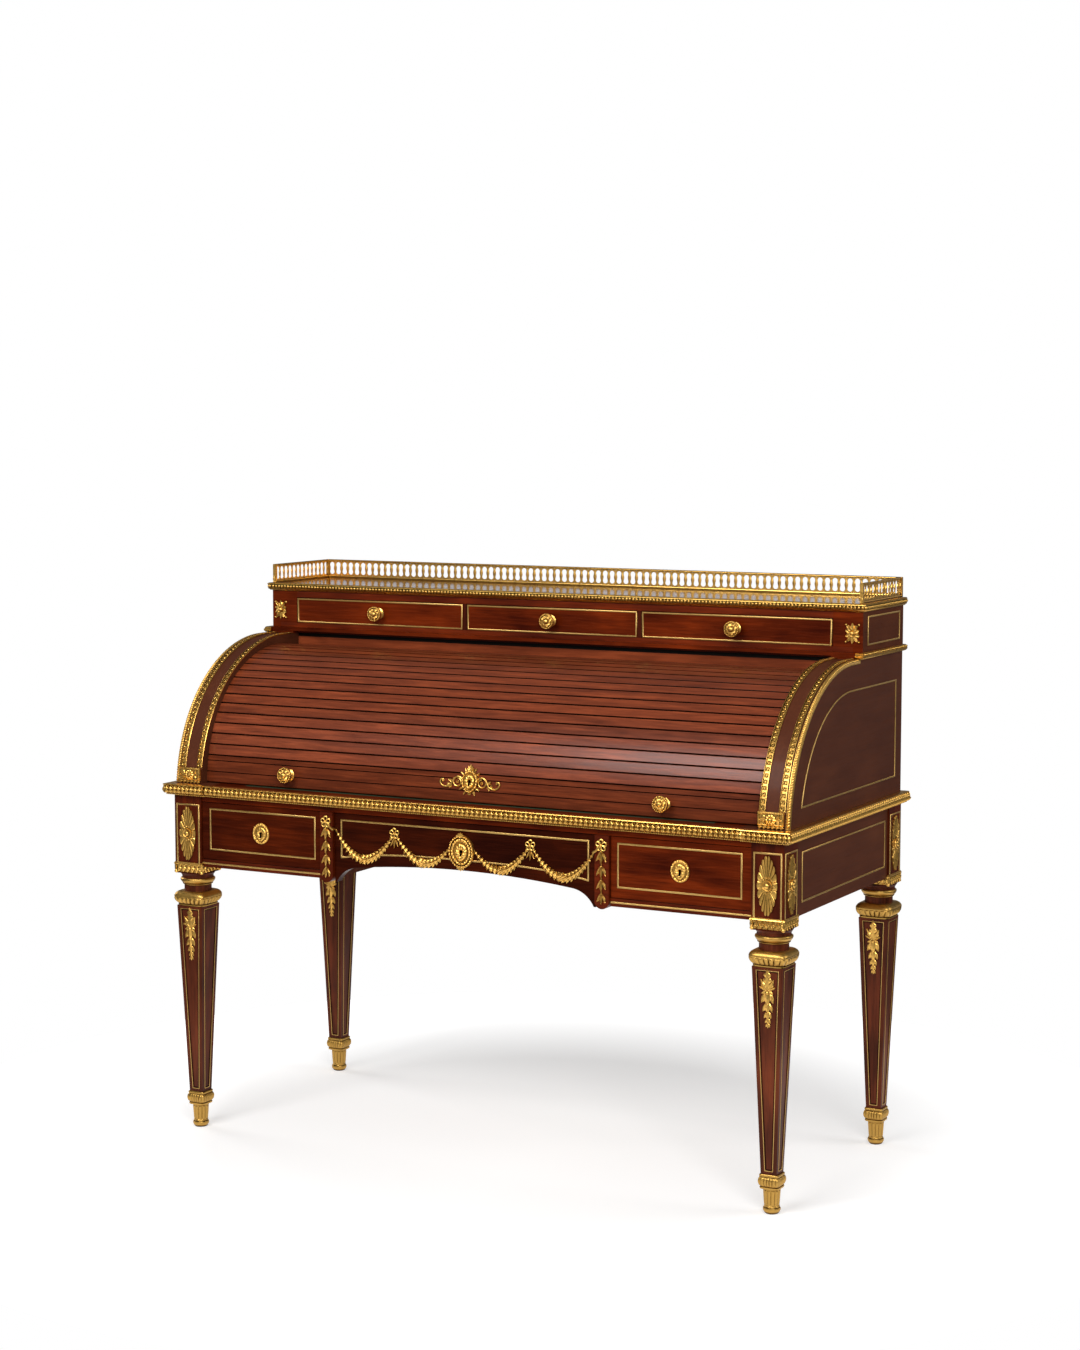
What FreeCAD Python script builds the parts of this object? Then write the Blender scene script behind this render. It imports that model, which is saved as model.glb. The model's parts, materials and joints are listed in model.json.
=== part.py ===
import FreeCAD, Part
import math
import os

# Cylinder desk: a writing desk on four tapered legs, closed by a slatted roll that turns up and back
# into the case. Three drawers lie in the frieze, three in the upper case, and a nest of pigeonholes
# with three small drawers stands behind the roll.
# Frame: millimetres, origin on the floor under the middle of the desk, +X right, front towards -Y, +Z up.

V = FreeCAD.Vector

# Heights of the leg, from the floor up
TOE_H = 15.0
TUBE_H = 37.0
SABOT_COLLAR_H = 30.0
SHAFT_H = 422.0
CUSHION_H = 32.0
NECK_H = 14.0
RING_H = 16.0
REST_H = 11.0

# Heights of the case, from the leg up
POST_H = 175.0
TABLE_THICK = 25.0
UPPER_BASE_H = 14.0
UPPER_FLOOR_H = 10.0
UPPER_DRAWER_H = 59.0
UPPER_RAIL_H = 15.0
TOP_BOARD_H = 17.0
GALLERY_H = 43.0

# Plan of the case
CASE_WIDTH = 1456.0
CASE_DEPTH = 646.0
POST = 70.0
OVERHANG = 24.0
CORNER_BREAK = 4.0
PANEL_RECESS = 4.0
RAIL_THICK = 20.0
BACK_INSET = 10.0

# Fits: a gap that shows round a drawer, a seat between a moving piece and what carries it
GAP = 1.5
SEAT = 0.3

# Leg sections
LEG_TOP_SIDE = 66.5
LEG_FOOT_SIDE = 34.5
LEG_PANEL_MARGIN = 9.0
LEG_PANEL_DEPTH = 1.2
LEG_PANEL_END = 7.0
CORE_D = 50.0
NECK_D = 60.0
REST_D = 69.0
REST_TOP_D = 78.0
RING_D = 77.0
CUSHION_SIDE = 86.0
CUSHION_CORNER = 14.0
DOWEL_D = 30.0
DOWEL_H = 40.0
SABOT_SIDE = 47.0
SABOT_CORNER = 8.0
SABOT_SOCKET = 26.0
TUBE_TOP_D = 36.5
TUBE_FOOT_D = 31.5
TOE_D = 36.0
TOE_FOOT_D = 25.0

# Frieze
POST_DROP = 18.0
FRONT_RAIL_H = 17.0
DUST_BOARD_H = 12.0
STILE_X = 330.0
STILE_WIDTH = 32.0
STILE_DEPTH = 30.0
STILE_PROUD = 3.5
STILE_DROP = 6.5
PARTITION = 20.0
RUNNER_H = 11.0
BORDER_H = 25.0
BORDER_FLARE = 4.0

# Frieze drawers
FRIEZE_FRONT_T = 20.0
DRAWER_SIDE_T = 10.0
DRAWER_BOTTOM_T = 6.0
DRAWER_BOTTOM_UP = 6.0
DRAWER_GROOVE = 4.0
DRAWER_INSET = 7.0
FRIEZE_DRAWER_DEPTH = 460.0
FRIEZE_SIDE_DROP = 10.0
CENTER_BOX_UP = 50.0
ARCH_FOOT_DROP = 5.0
ARCH_FOOT = 4.0
ARCH_RISE = 50.0
ARCH_SHOULDER = 52.0
ARCH_SHOULDER_RISE = 35.0

# Writing slide and bed: the slide fills the table between its two ends and stops before the roll's axis
TABLE_END_W = 95.7
SLIDE_BEFORE_AXIS = 17.5
SLIDE_TONGUE = 8.0
LEATHER_MARGIN_X = 70.0
LEATHER_MARGIN_Y = 30.0
LEATHER_T = 1.2
BED_CLEAR = 12.0

# Roll: it turns about an axis at table height, with room before it and behind it in the case
ROLL_FRONT_IN = 36.5
ROLL_BACK_ROOM = 37.5
SLAT_T = 11.0
SLAT_COUNT = 19
SLAT_ROUND = 1.6
SLAT_LINE = 0.6
CANVAS_T = 2.0
ROLL_RAIL_T = 18.0
ROLL_START = 0.5
ROLL_RAIL_END = 12.4
ROLL_END = 106.0
RAIL_LINE_ANGLES = (5.25, 10.1)
SLAT_TONGUE = 12.0
GROOVE_CLEAR = 0.5
TRACK_FRONT_ANGLE = -20.0
TRACK_BACK_ANGLE = 200.0
POCKET_ANGLE = 150.0
CANVAS_MARGIN = 4.0
ROLL_KNOB_X = 450.0
ROLL_KNOB_ANGLE = 6.0

# Cylinder sides: their round edge lies outside the roll
SIDE_OVER_ROLL = 44.0
SIDE_FRONT_IN = 12.5
SIDE_PROUD = 2.0
SIDE_BAND = 64.0
SIDE_PANEL_T = 26.0
BACK_PANEL_T = 12.0
STRIP_WIDTH = 13.5
STRIP_T = 2.5
BEAD_WIDTH = 8.0
BEAD_T = 4.0
FOOT_ROSETTE_H = 33.0
FOOT_ROSETTE_T = 5.0
FOOT_ROSETTE_LIFT = 2.0
FOOT_ROSETTE_D = 24.0

# Upper case
UPPER_STEP_BACK = 57.5
UPPER_PROUD = 3.0
UPPER_BASE_PROUD = 2.0
UPPER_BASE_FRONT = 15.0
UPPER_BASE_REBATE = 6.0
WAIST_REACH = 9.0
UPPER_END_T = 22.0
UPPER_STILE_W = 66.5
UPPER_STILE_DEPTH = 30.0
UPPER_DIVIDER_X = 217.0
UPPER_DIVIDER_T = 8.0
UPPER_FRONT_T = 16.0
UPPER_BOX_SIDE_T = 8.0
UPPER_BOX_INSET = 4.0
HEADER_T = 20.0
HEADER_BACK = 8.0
HEADER_CLEAR = 3.0
TOP_REACH = 11.0

# Gallery
GALLERY_INSET = 3.0
GALLERY_T = 3.0
GALLERY_PITCH = 17.5
GALLERY_FOOT_RAIL = 8.0
GALLERY_TOP_RAIL = 5.0
GALLERY_HOLE_BULGE = 5.6
GALLERY_HOLE_WAIST = 3.6
GALLERY_HOLE_END = 2.6

# Nest of pigeonholes
NEST_BEHIND_SLIDE = 7.0
NEST_DEPTH = 180.0
NEST_CLEAR = 9.0
NEST_SIDE_CLEAR = 2.0
NEST_BOARD = 8.0
NEST_BACK_T = 6.0
NEST_DRAWER_H = 58.0
NEST_DRAWERS = 3
NEST_HOLES = 6
NEST_SIDE_T = 6.0
NEST_BOTTOM_T = 4.0
NEST_KNOB_R = 6.0
NEST_KNOB_OUT = 11.0

# Knobs, locks and flat mounts
KNOB_D = 35.0
KNOB_OUT = 30.0
KNOB_ROSE_D = 27.0
KNOB_NECK_D = 14.0
ESCUTCHEON_D = 44.0
ESCUTCHEON_T = 4.0
KEY_D = 6.0
KEY_SLOT_W = 3.0
KEY_SLOT_H = 10.0
KEY_LIFT = 4.0
LOCK_W = 56.0
LOCK_T = 12.0
LOCK_BELOW_KEY = 22.0
LOCK_TOP_MARGIN = 2.0
ROLL_LOCK_H = 30.0
SHIELD_W = 40.0
SHIELD_H = 50.0
SHIELD_PROUD = 2.0
SCROLL_R = 15.0
TENDRIL_R = 7.0
CREST_RAYS = 7
MOUNT_SINK = 2.4
MOUNT_ANGLE = 9.0
MEDALLION_W = 61.0
MEDALLION_H = 71.0
MEDALLION_T = 6.0
SWAG_SAG = 60.0
SWAG_HALF_W = 7.0
SWAG_T = 8.0
SWAG_DROP = 30.0
BOW_X = 163.0
BOW_R = 10.0
PATERA_W = 43.5
PATERA_H = 122.0
PATERA_T = 4.0
PATERA_LIFT = 4.0
PATERA_RAYS = 18
PATERA_NOTCH = 0.9
BOSS_SHARE = 0.42
BOSS_PROUD = 2.0
HUSK_W = 31.0
HUSK_H = 124.0
HUSK_T = 4.0
HUSK_BELOW_TOP = 3.0
UPPER_ROSETTE_W = 31.0
UPPER_ROSETTE_H = 46.0
UPPER_ROSETTE_IN = 24.0
UPPER_ROSETTE_RAYS = 8
STILE_DROP_LENGTH = 131.0
STILE_DROP_TOP = 14.0
STILE_DROP_W = 18.0
STILE_DROP_T = 5.0

# Curves worked out from the depth of the case
ROLL_R = (CASE_DEPTH - ROLL_FRONT_IN - ROLL_BACK_ROOM) / 2
ROLL_SETBACK = ROLL_FRONT_IN + ROLL_R
SIDE_R = ROLL_R + SIDE_OVER_ROLL
SIDE_SETBACK = SIDE_FRONT_IN + SIDE_R
UPPER_SETBACK = SIDE_SETBACK + UPPER_STEP_BACK
SLIDE_DEPTH = ROLL_SETBACK - SLIDE_BEFORE_AXIS
NEST_SETBACK = SLIDE_DEPTH + NEST_BEHIND_SLIDE

# Levels worked out from the heights
TUBE_TOP = TOE_H + TUBE_H
SABOT_TOP = TUBE_TOP + SABOT_COLLAR_H
SABOT_SEAT = SABOT_TOP - SABOT_SOCKET
LEG_TOP = SABOT_TOP + SHAFT_H
CUSHION_TOP = LEG_TOP + CUSHION_H
NECK_TOP = CUSHION_TOP + NECK_H
RING_TOP = NECK_TOP + RING_H
POST_Z = RING_TOP + REST_H
TABLE_UNDER = POST_Z + POST_H
TABLE_Z = TABLE_UNDER + TABLE_THICK
FRIEZE_Z = POST_Z + POST_DROP
DUST_Z = TABLE_UNDER - DUST_BOARD_H
SIDE_TOP = TABLE_UNDER + SIDE_R
BASE_TOP = SIDE_TOP + UPPER_BASE_H
FLOOR_TOP = BASE_TOP + UPPER_FLOOR_H
UPPER_RAIL_Z = FLOOR_TOP + UPPER_DRAWER_H
TOP_UNDER = UPPER_RAIL_Z + UPPER_RAIL_H
TOP_Z = TOP_UNDER + TOP_BOARD_H

# Planes worked out from the plan
HALF = CASE_WIDTH / 2
CUSHION_PROUD = (CUSHION_SIDE - POST) / 2
FRONT = OVERHANG - (CASE_DEPTH + OVERHANG + CUSHION_PROUD) / 2
BACK = FRONT + CASE_DEPTH
POST_IN = HALF - POST
FACE = FRONT + PANEL_RECESS
RAIL_OUT = HALF - PANEL_RECESS
RAIL_IN = RAIL_OUT - RAIL_THICK
STILE_IN = STILE_X - STILE_WIDTH / 2
STILE_OUT = STILE_X + STILE_WIDTH / 2
STILE_FRONT = FRONT - STILE_PROUD
STILE_BACK = STILE_FRONT + STILE_DEPTH
PARTITION_IN = STILE_X - PARTITION / 2
PARTITION_OUT = STILE_X + PARTITION / 2
BACK_RAIL_OUT = BACK - PANEL_RECESS
BACK_RAIL_IN = BACK_RAIL_OUT - RAIL_THICK
ROLL_Y = FRONT + ROLL_SETBACK
SLAT_IN_R = ROLL_R - SLAT_T
CANVAS_IN_R = SLAT_IN_R - CANVAS_T
BED_BACK = ROLL_Y + CANVAS_IN_R - BED_CLEAR
SIDE_Y = FRONT + SIDE_SETBACK
SIDE_OUT = HALF + SIDE_PROUD
SIDE_IN = SIDE_OUT - SIDE_BAND
CHEEK_OUT = SIDE_OUT - SIDE_PANEL_T
SIDE_BACK = BACK - BACK_INSET
BACK_PANEL_IN = SIDE_BACK - BACK_PANEL_T
TABLE_END_IN = HALF - TABLE_END_W
SLIDE_HALF = TABLE_END_IN - SEAT
TONGUE_X = SLIDE_HALF + SLIDE_TONGUE
UPPER_FRONT = FRONT + UPPER_SETBACK
UPPER_HALF = HALF + UPPER_PROUD
UPPER_END_IN = UPPER_HALF - UPPER_END_T
UPPER_STILE_IN = UPPER_HALF - UPPER_STILE_W
UPPER_BACK_IN = SIDE_BACK - BACK_PANEL_T
KEY_Z = (FRIEZE_Z + FRONT_RAIL_H + DUST_Z) / 2 + KEY_LIFT
LEG_X = HALF - POST / 2
LEG_FRONT_Y = FRONT + POST / 2
LEG_BACK_Y = BACK - POST / 2

# Moulding sections as (share of the reach or side, share of the height), from the bottom up
CUSHION_SECTION = [
    (0.81, 0.0), (0.84, 0.1), (0.93, 0.28), (0.99, 0.5), (1.0, 0.62), (0.95, 0.83), (0.79, 1.0),
]
TABLE_SECTION = [(0.42, 0.0), (0.67, 0.08), (0.92, 0.24), (1.0, 0.4), (0.98, 0.56), (0.79, 0.76), (0.71, 1.0)]
TOP_SECTION = [(0.3, 0.0), (0.55, 0.2), (0.9, 0.42), (1.0, 0.6), (0.9, 0.8), (0.5, 1.0)]
WAIST_SECTION = [(0.2, 0.0), (0.6, 0.15), (1.0, 0.45), (0.95, 0.65), (0.4, 1.0)]


# Basic forms

def box(x0, x1, y0, y1, z0, z1):
    """A board given by its faces."""
    return Part.makeBox(x1 - x0, y1 - y0, z1 - z0, V(x0, y0, z0))


def mirrored(shape):
    """The same piece on the other side of the desk."""
    return shape.mirror(V(0, 0, 0), V(1, 0, 0))


def pair(shape):
    """A piece of the right side and its twin on the left."""
    return [shape, mirrored(shape)]


def outline(points):
    """A flat face from a closed row of corners."""
    return Part.Face(Part.makePolygon(points + points[:1]))


def slab_x(points, x0, x1):
    """A solid along X from (y, z) corners."""
    return outline([V(x0, y, z) for y, z in points]).extrude(V(x1 - x0, 0, 0))


def slab_z(points, z0, z1):
    """A solid along Z from (x, y) corners."""
    return outline([V(x, y, z0) for x, y in points]).extrude(V(0, 0, z1 - z0))


def rectangle(x0, x1, y0, y1, z):
    """A level rectangular wire."""
    return Part.makePolygon([V(x0, y0, z), V(x1, y0, z), V(x1, y1, z), V(x0, y1, z), V(x0, y0, z)])


def square(side, z):
    """A level square wire round the Z axis."""
    return rectangle(-side / 2, side / 2, -side / 2, side / 2, z)


def octagon(width, z):
    """A level octagon wire round the Z axis, with its flats the given width apart."""
    radius = width / 2 / math.cos(math.pi / 8)
    turns = [math.pi / 8 + n * math.pi / 4 for n in range(8)]
    corners = [V(radius * math.cos(a), radius * math.sin(a), z) for a in turns]
    return Part.makePolygon(corners + corners[:1])


def rounded_square(side, corner, z):
    """A level square wire round the Z axis with rounded corners."""
    flat = side / 2 - corner
    edges = []
    for quarter in range(4):
        angles = (0, math.pi / 4, math.pi / 2)
        points = [V(flat + corner * math.cos(a), flat + corner * math.sin(a), 0) for a in angles]
        turn = FreeCAD.Rotation(V(0, 0, 1), 90 * quarter)
        a, b, c = [turn.multVec(p) + V(0, 0, z) for p in points]
        edges.append(Part.Arc(a, b, c).toShape())
        edges.append(Part.makeLine(c, turn.multVec(V(-flat, side / 2, 0)) + V(0, 0, z)))
    return Part.Wire(edges)


def skin(wires):
    """A solid ruled through level wires."""
    return Part.makeLoft(wires, True, True)


def turned(profile):
    """A turned solid on the Z axis from (radius, z) points, bottom to top."""
    points = [V(r, 0, z) for r, z in profile]
    first, last = profile[0], profile[-1]
    if last[0] > 0:
        points.append(V(0, 0, last[1]))
    if first[0] > 0:
        points.append(V(0, 0, first[1]))
    return outline(points).revolve(V(0, 0, 0), V(0, 0, 1), 360)


def rod(diameter, z0, z1):
    """A round rod on the Z axis."""
    return Part.makeCylinder(diameter / 2, z1 - z0, V(0, 0, z0))


def moved(shape, x, y, z=0.0):
    """A copy of the shape, shifted."""
    copy = shape.copy()
    copy.translate(V(x, y, z))
    return copy


def facing_front(shape, x, y, z):
    """A piece that was made along +Z, turned to point at the front and put in place."""
    copy = shape.copy()
    copy.rotate(V(0, 0, 0), V(1, 0, 0), 90)
    copy.translate(V(x, y, z))
    return copy


def on_arc(radius, angle, x=0.0):
    """A point of the roll: the angle is in degrees from the front, rising."""
    a = math.radians(angle)
    return V(x, ROLL_Y - radius * math.cos(a), TABLE_Z + radius * math.sin(a))


def facing_out(shape, x, radius, angle):
    """A piece that was made along +Z, set on the roll so that it points away from the axis."""
    copy = shape.copy()
    copy.rotate(V(0, 0, 0), V(1, 0, 0), 90 - angle)
    copy.translate(on_arc(radius, angle, x))
    return copy


def arc_bar(inner, outer, low, high, x0, x1, edge=0.0):
    """A bar along X whose section is a sector of a ring round the roll's axis, its outer edges eased."""
    ease = math.degrees(edge / outer)
    middle = (low + high) / 2
    a, b = on_arc(outer, low + ease, x0), on_arc(outer, high - ease, x0)
    edges = [Part.Arc(a, on_arc(outer, middle, x0), b).toShape()]
    corners = [b, on_arc(inner, high, x0)]
    if edge > 0:
        corners.insert(1, on_arc(outer - edge, high, x0))
    edges += [Part.makeLine(p, q) for p, q in zip(corners, corners[1:])]
    edges.append(Part.Arc(corners[-1], on_arc(inner, middle, x0), on_arc(inner, low, x0)).toShape())
    corners = [on_arc(inner, low, x0), a]
    if edge > 0:
        corners.insert(1, on_arc(outer - edge, low, x0))
    edges += [Part.makeLine(p, q) for p, q in zip(corners, corners[1:])]
    return Part.Face(Part.Wire(edges)).extrude(V(x1 - x0, 0, 0))


def moulding(x_half, y_front, y_back, reach, z0, height, section):
    """A moulding on the front and the two sides of a board, mitred at the corners: front, right, left."""
    wires = [
        rectangle(-x_half - s * reach, x_half + s * reach, y_front - s * reach, y_back, z0 + t * height)
        for s, t in section
    ]
    ring = skin(wires).cut(box(-x_half, x_half, y_front, y_back, z0, z0 + height))
    far = 2 * reach
    side = slab_z(
        [(x_half, y_front), (x_half + far, y_front - far), (x_half + far, y_back), (x_half, y_back)],
        z0, z0 + height,
    )
    front = slab_z(
        [(-x_half, y_front), (x_half, y_front), (x_half + far, y_front - far),
         (-x_half - far, y_front - far)],
        z0, z0 + height,
    )
    right = ring.common(side)
    return ring.common(front), right, mirrored(right)


# Legs and their gilt mounts

def leg_side(z):
    """Side of the tapered shaft at a height."""
    share = (z - SABOT_TOP) / SHAFT_H
    return LEG_FOOT_SIDE + share * (LEG_TOP_SIDE - LEG_FOOT_SIDE)


def leg_panel():
    """The sunk panel of the leg's front face, as the wood to take away."""
    wires = []
    for z in (SABOT_TOP + LEG_PANEL_END, LEG_TOP - LEG_PANEL_END):
        half = leg_side(z) / 2
        width = half - LEG_PANEL_MARGIN
        wires.append(rectangle(-width, width, -half - LEG_PANEL_DEPTH, -half + LEG_PANEL_DEPTH, z))
    return skin(wires)


def leg():
    """Tapered shaft with four sunk panels, a turned neck, a hollow moulding and a dowel into the post."""
    body = skin([square(leg_side(z), z) for z in (SABOT_SEAT, LEG_TOP)])
    for quarter in range(4):
        panel = leg_panel()
        panel.rotate(V(0, 0, 0), V(0, 0, 1), 90 * quarter)
        body = body.cut(panel)
    curve, flare = 0.4 * REST_H, 0.35 * (REST_TOP_D - REST_D)
    neck = turned([
        (CORE_D / 2, LEG_TOP), (CORE_D / 2, CUSHION_TOP), (NECK_D / 2, CUSHION_TOP), (NECK_D / 2, NECK_TOP),
        (CORE_D / 2, NECK_TOP), (CORE_D / 2, RING_TOP), (REST_D / 2, RING_TOP),
        (REST_D / 2, RING_TOP + curve), ((REST_D + flare) / 2, POST_Z - curve), (REST_TOP_D / 2, POST_Z),
        (DOWEL_D / 2, POST_Z), (DOWEL_D / 2, POST_Z + DOWEL_H),
    ])
    return body.fuse(neck).removeSplitter()


def sabot():
    """Gilt shoe: round toe, eight-sided tube and a square moulded collar that takes the leg's end."""
    toe = turned([
        (TOE_FOOT_D / 2, 0), (0.9 * TOE_D / 2, 0.35 * TOE_H), (TOE_D / 2, 0.65 * TOE_H),
        (TOE_D / 2, 0.88 * TOE_H), (TUBE_FOOT_D / 2, TOE_H),
    ])
    tube = skin([octagon(TUBE_FOOT_D, TOE_H), octagon(TUBE_TOP_D, TUBE_TOP)])
    rim = leg_side(SABOT_TOP) + 2 * STRIP_T
    lip = TUBE_TOP_D + 2 * STRIP_T
    steps = [
        (lip, 0.0), (lip, 0.14), (0.97 * SABOT_SIDE, 0.35), (SABOT_SIDE, 0.55), (0.97 * SABOT_SIDE, 0.75),
        (rim, 0.92), (rim, 1.0),
    ]
    collar = skin([
        rounded_square(side, SABOT_CORNER * (side / SABOT_SIDE) ** 3, TUBE_TOP + share * SABOT_COLLAR_H)
        for side, share in steps
    ])
    socket = skin([square(leg_side(z), z) for z in (SABOT_SEAT, SABOT_TOP)])
    return toe.fuse([tube, collar]).cut(socket).removeSplitter()


def cushion():
    """Gilt cushion collar between the shaft and the neck."""
    body = skin([
        rounded_square(width * CUSHION_SIDE, CUSHION_CORNER * width ** 4, LEG_TOP + rise * CUSHION_H)
        for width, rise in CUSHION_SECTION
    ])
    return body.cut(rod(CORE_D, LEG_TOP, CUSHION_TOP))


def neck_ring():
    """Gilt ring between the neck and the post."""
    body = turned([
        (NECK_D / 2, NECK_TOP), (0.87 * RING_D / 2, NECK_TOP + 0.16 * RING_H),
        (0.96 * RING_D / 2, NECK_TOP + 0.45 * RING_H), (RING_D / 2, NECK_TOP + 0.75 * RING_H),
        (REST_D / 2, RING_TOP),
    ])
    return body.cut(rod(CORE_D, NECK_TOP, RING_TOP))


def post():
    """Square corner post, bored for the leg's dowel."""
    body = box(-POST / 2, POST / 2, -POST / 2, POST / 2, POST_Z, TABLE_UNDER)
    return body.cut(rod(DOWEL_D, POST_Z, POST_Z + DOWEL_H))


def border():
    """Flared gilt leaf border round the lower end of a post."""
    steps = [(2 * BORDER_FLARE, 0.0), (1.6 * BORDER_FLARE, 0.3), (0.7 * BORDER_FLARE, 1.0)]
    body = skin([square(POST + more, POST_Z + share * BORDER_H) for more, share in steps])
    return body.cut(box(-POST / 2, POST / 2, -POST / 2, POST / 2, POST_Z, POST_Z + BORDER_H))


def at_legs(shape):
    """The same piece at all four corners, keyed by corner."""
    return {
        "front_left": moved(shape, -LEG_X, LEG_FRONT_Y),
        "front_right": moved(shape, LEG_X, LEG_FRONT_Y),
        "back_left": moved(shape, -LEG_X, LEG_BACK_Y),
        "back_right": moved(shape, LEG_X, LEG_BACK_Y),
    }


# Flat gilt mounts

def rayed_oval(width, height, rays, thick):
    """An oval plate with a notched, sunburst edge, along +Z, its height along Y."""
    corners = []
    for n in range(2 * rays):
        a = math.pi * n / rays
        share = 1.0 if n % 2 == 0 else PATERA_NOTCH
        corners.append((share * width / 2 * math.sin(a), share * height / 2 * math.cos(a)))
    return slab_z(corners, 0, thick)


def boss(diameter, z0, z1):
    """A round, domed boss along +Z."""
    rim, rise = diameter / 2, z1 - z0
    return turned([(rim, z0), (rim, z0 + 0.5 * rise), (0.7 * rim, z0 + 0.8 * rise), (0.3 * rim, z1)])


def patera(width, height, rays, thick):
    """A sunburst oval with a boss in its middle."""
    plate = rayed_oval(width, height, rays, thick)
    return plate.fuse(boss(BOSS_SHARE * width, 0, thick + BOSS_PROUD)).removeSplitter()


def oval(width, height, thick):
    """An oval plate along +Z, its height along Y."""
    long, short = max(width, height) / 2, min(width, height) / 2
    ellipse = Part.Ellipse(V(0, 0, 0), long, short).toShape()
    plate = Part.Face(Part.Wire([ellipse])).extrude(V(0, 0, thick))
    if height > width:
        plate.rotate(V(0, 0, 0), V(0, 0, 1), 90)
    return plate


def husk_drop(width, length, thick):
    """A tapering chain of husks as one notched plate along +Z, hanging down from the origin."""
    husks = 4
    right = [(0.25 * width, 0.0)]
    for n in range(husks):
        reach = width / 2 * (1 - 0.2 * n)
        top = -length * n / husks
        step = length / husks
        right += [(reach, top - 0.45 * step), (0.35 * reach, top - step)]
    left = [(-x, y) for x, y in reversed(right)]
    return slab_z(right + left, 0, thick)


def keyhole(depth):
    """The hollow of a keyhole along +Z."""
    slot = box(-KEY_SLOT_W / 2, KEY_SLOT_W / 2, -KEY_SLOT_H, 0, 0, depth)
    return Part.makeCylinder(KEY_D / 2, depth).fuse(slot)


def knob():
    """A turned drawer knob along +Z: rose, neck and domed head."""
    head = KNOB_D / 2
    return turned([
        (KNOB_ROSE_D / 2, 0), (KNOB_ROSE_D / 2, 0.1 * KNOB_OUT), (KNOB_NECK_D / 2, 0.22 * KNOB_OUT),
        (KNOB_NECK_D / 2, 0.42 * KNOB_OUT), (head, 0.62 * KNOB_OUT), (head, 0.76 * KNOB_OUT),
        (0.75 * head, 0.9 * KNOB_OUT), (0.35 * head, KNOB_OUT),
    ])


def leg_husk(corner_leg):
    """The husk mount that lies on the sunk panel of a leg's front face."""
    lean = math.degrees(math.atan((LEG_TOP_SIDE - LEG_FOOT_SIDE) / 2 / SHAFT_H))
    top = LEG_TOP - HUSK_BELOW_TOP
    mount = husk_drop(HUSK_W, HUSK_H, HUSK_T + LEG_PANEL_DEPTH)
    mount.rotate(V(0, 0, 0), V(1, 0, 0), 90 + lean)
    mount.translate(V(0, -leg_side(top) / 2 + 2 * LEG_PANEL_DEPTH, top))
    return mount.cut(corner_leg)


# Drawers

def drawer_box(x0, x1, y0, y1, z0, z1, side_t, bottom_t, back_drop):
    """Sides, back and bottom of a drawer behind its front; the bottom is let into grooves in the sides."""
    bottom_z = z0 + DRAWER_BOTTOM_UP
    groove = min(DRAWER_GROOVE, side_t / 2)
    bottom = box(x0 + side_t - groove, x1 - side_t + groove, y0, y1 - side_t, bottom_z, bottom_z + bottom_t)
    left = box(x0, x0 + side_t, y0, y1, z0, z1).cut(bottom)
    right = box(x1 - side_t, x1, y0, y1, z0, z1).cut(bottom)
    back = box(x0 + side_t, x1 - side_t, y1 - side_t, y1, z0, z1 - back_drop)
    return [left, right, back, bottom]


def lock_case(x, face, thick, key_z, top):
    """The lock's case, let into the back of a front."""
    half, back = LOCK_W / 2, face + thick
    return box(x - half, x + half, back - LOCK_T, back, key_z - LOCK_BELOW_KEY, top - LOCK_TOP_MARGIN)


def arched_front(half, face, thick, top):
    """Front of the middle drawer, with a basket arch as its lower edge."""
    foot = FRIEZE_Z - ARCH_FOOT_DROP
    spring = half - ARCH_FOOT
    shoulder = spring - ARCH_SHOULDER
    crown = V(0, face, foot + ARCH_RISE)

    def haunch(sign):
        low = V(sign * spring, face, foot)
        high = V(sign * shoulder, face, foot + ARCH_SHOULDER_RISE)
        middle = V(sign * (shoulder + 0.7 * ARCH_SHOULDER), face, foot + 0.57 * ARCH_SHOULDER_RISE)
        return low, middle, high

    a, b, c = haunch(-1)
    d, e, f = haunch(1)
    left_foot, right_foot = V(-half, face, foot), V(half, face, foot)
    left_top, right_top = V(-half, face, top), V(half, face, top)
    edges = [
        Part.makeLine(left_foot, a), Part.Arc(a, b, c).toShape(), Part.Arc(c, crown, f).toShape(),
        Part.Arc(f, e, d).toShape(), Part.makeLine(d, right_foot), Part.makeLine(right_foot, right_top),
        Part.makeLine(right_top, left_top), Part.makeLine(left_top, left_foot),
    ]
    return Part.Face(Part.Wire(edges)).extrude(V(0, thick, 0))


def swag(x0, x1, face, z):
    """One laurel swag between two knots, half round on the drawer front."""
    half = (x1 - x0) / 2
    radius = (half ** 2 + SWAG_SAG ** 2) / 2 / SWAG_SAG
    reach = math.degrees(math.asin(min(1.0, half / radius)))
    if SWAG_SAG > half:
        reach = 180 - reach
    middle = V((x0 + x1) / 2, face, z - SWAG_SAG + radius)
    low = middle.z - radius
    section = outline([
        V(middle.x, face, low - SWAG_HALF_W), V(middle.x, face - 0.7 * SWAG_T, low - 0.6 * SWAG_HALF_W),
        V(middle.x, face - SWAG_T, low), V(middle.x, face - 0.7 * SWAG_T, low + 0.6 * SWAG_HALF_W),
        V(middle.x, face, low + SWAG_HALF_W),
    ])
    section.rotate(middle, V(0, 1, 0), -reach)
    return section.revolve(middle, V(0, 1, 0), 2 * reach)


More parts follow.
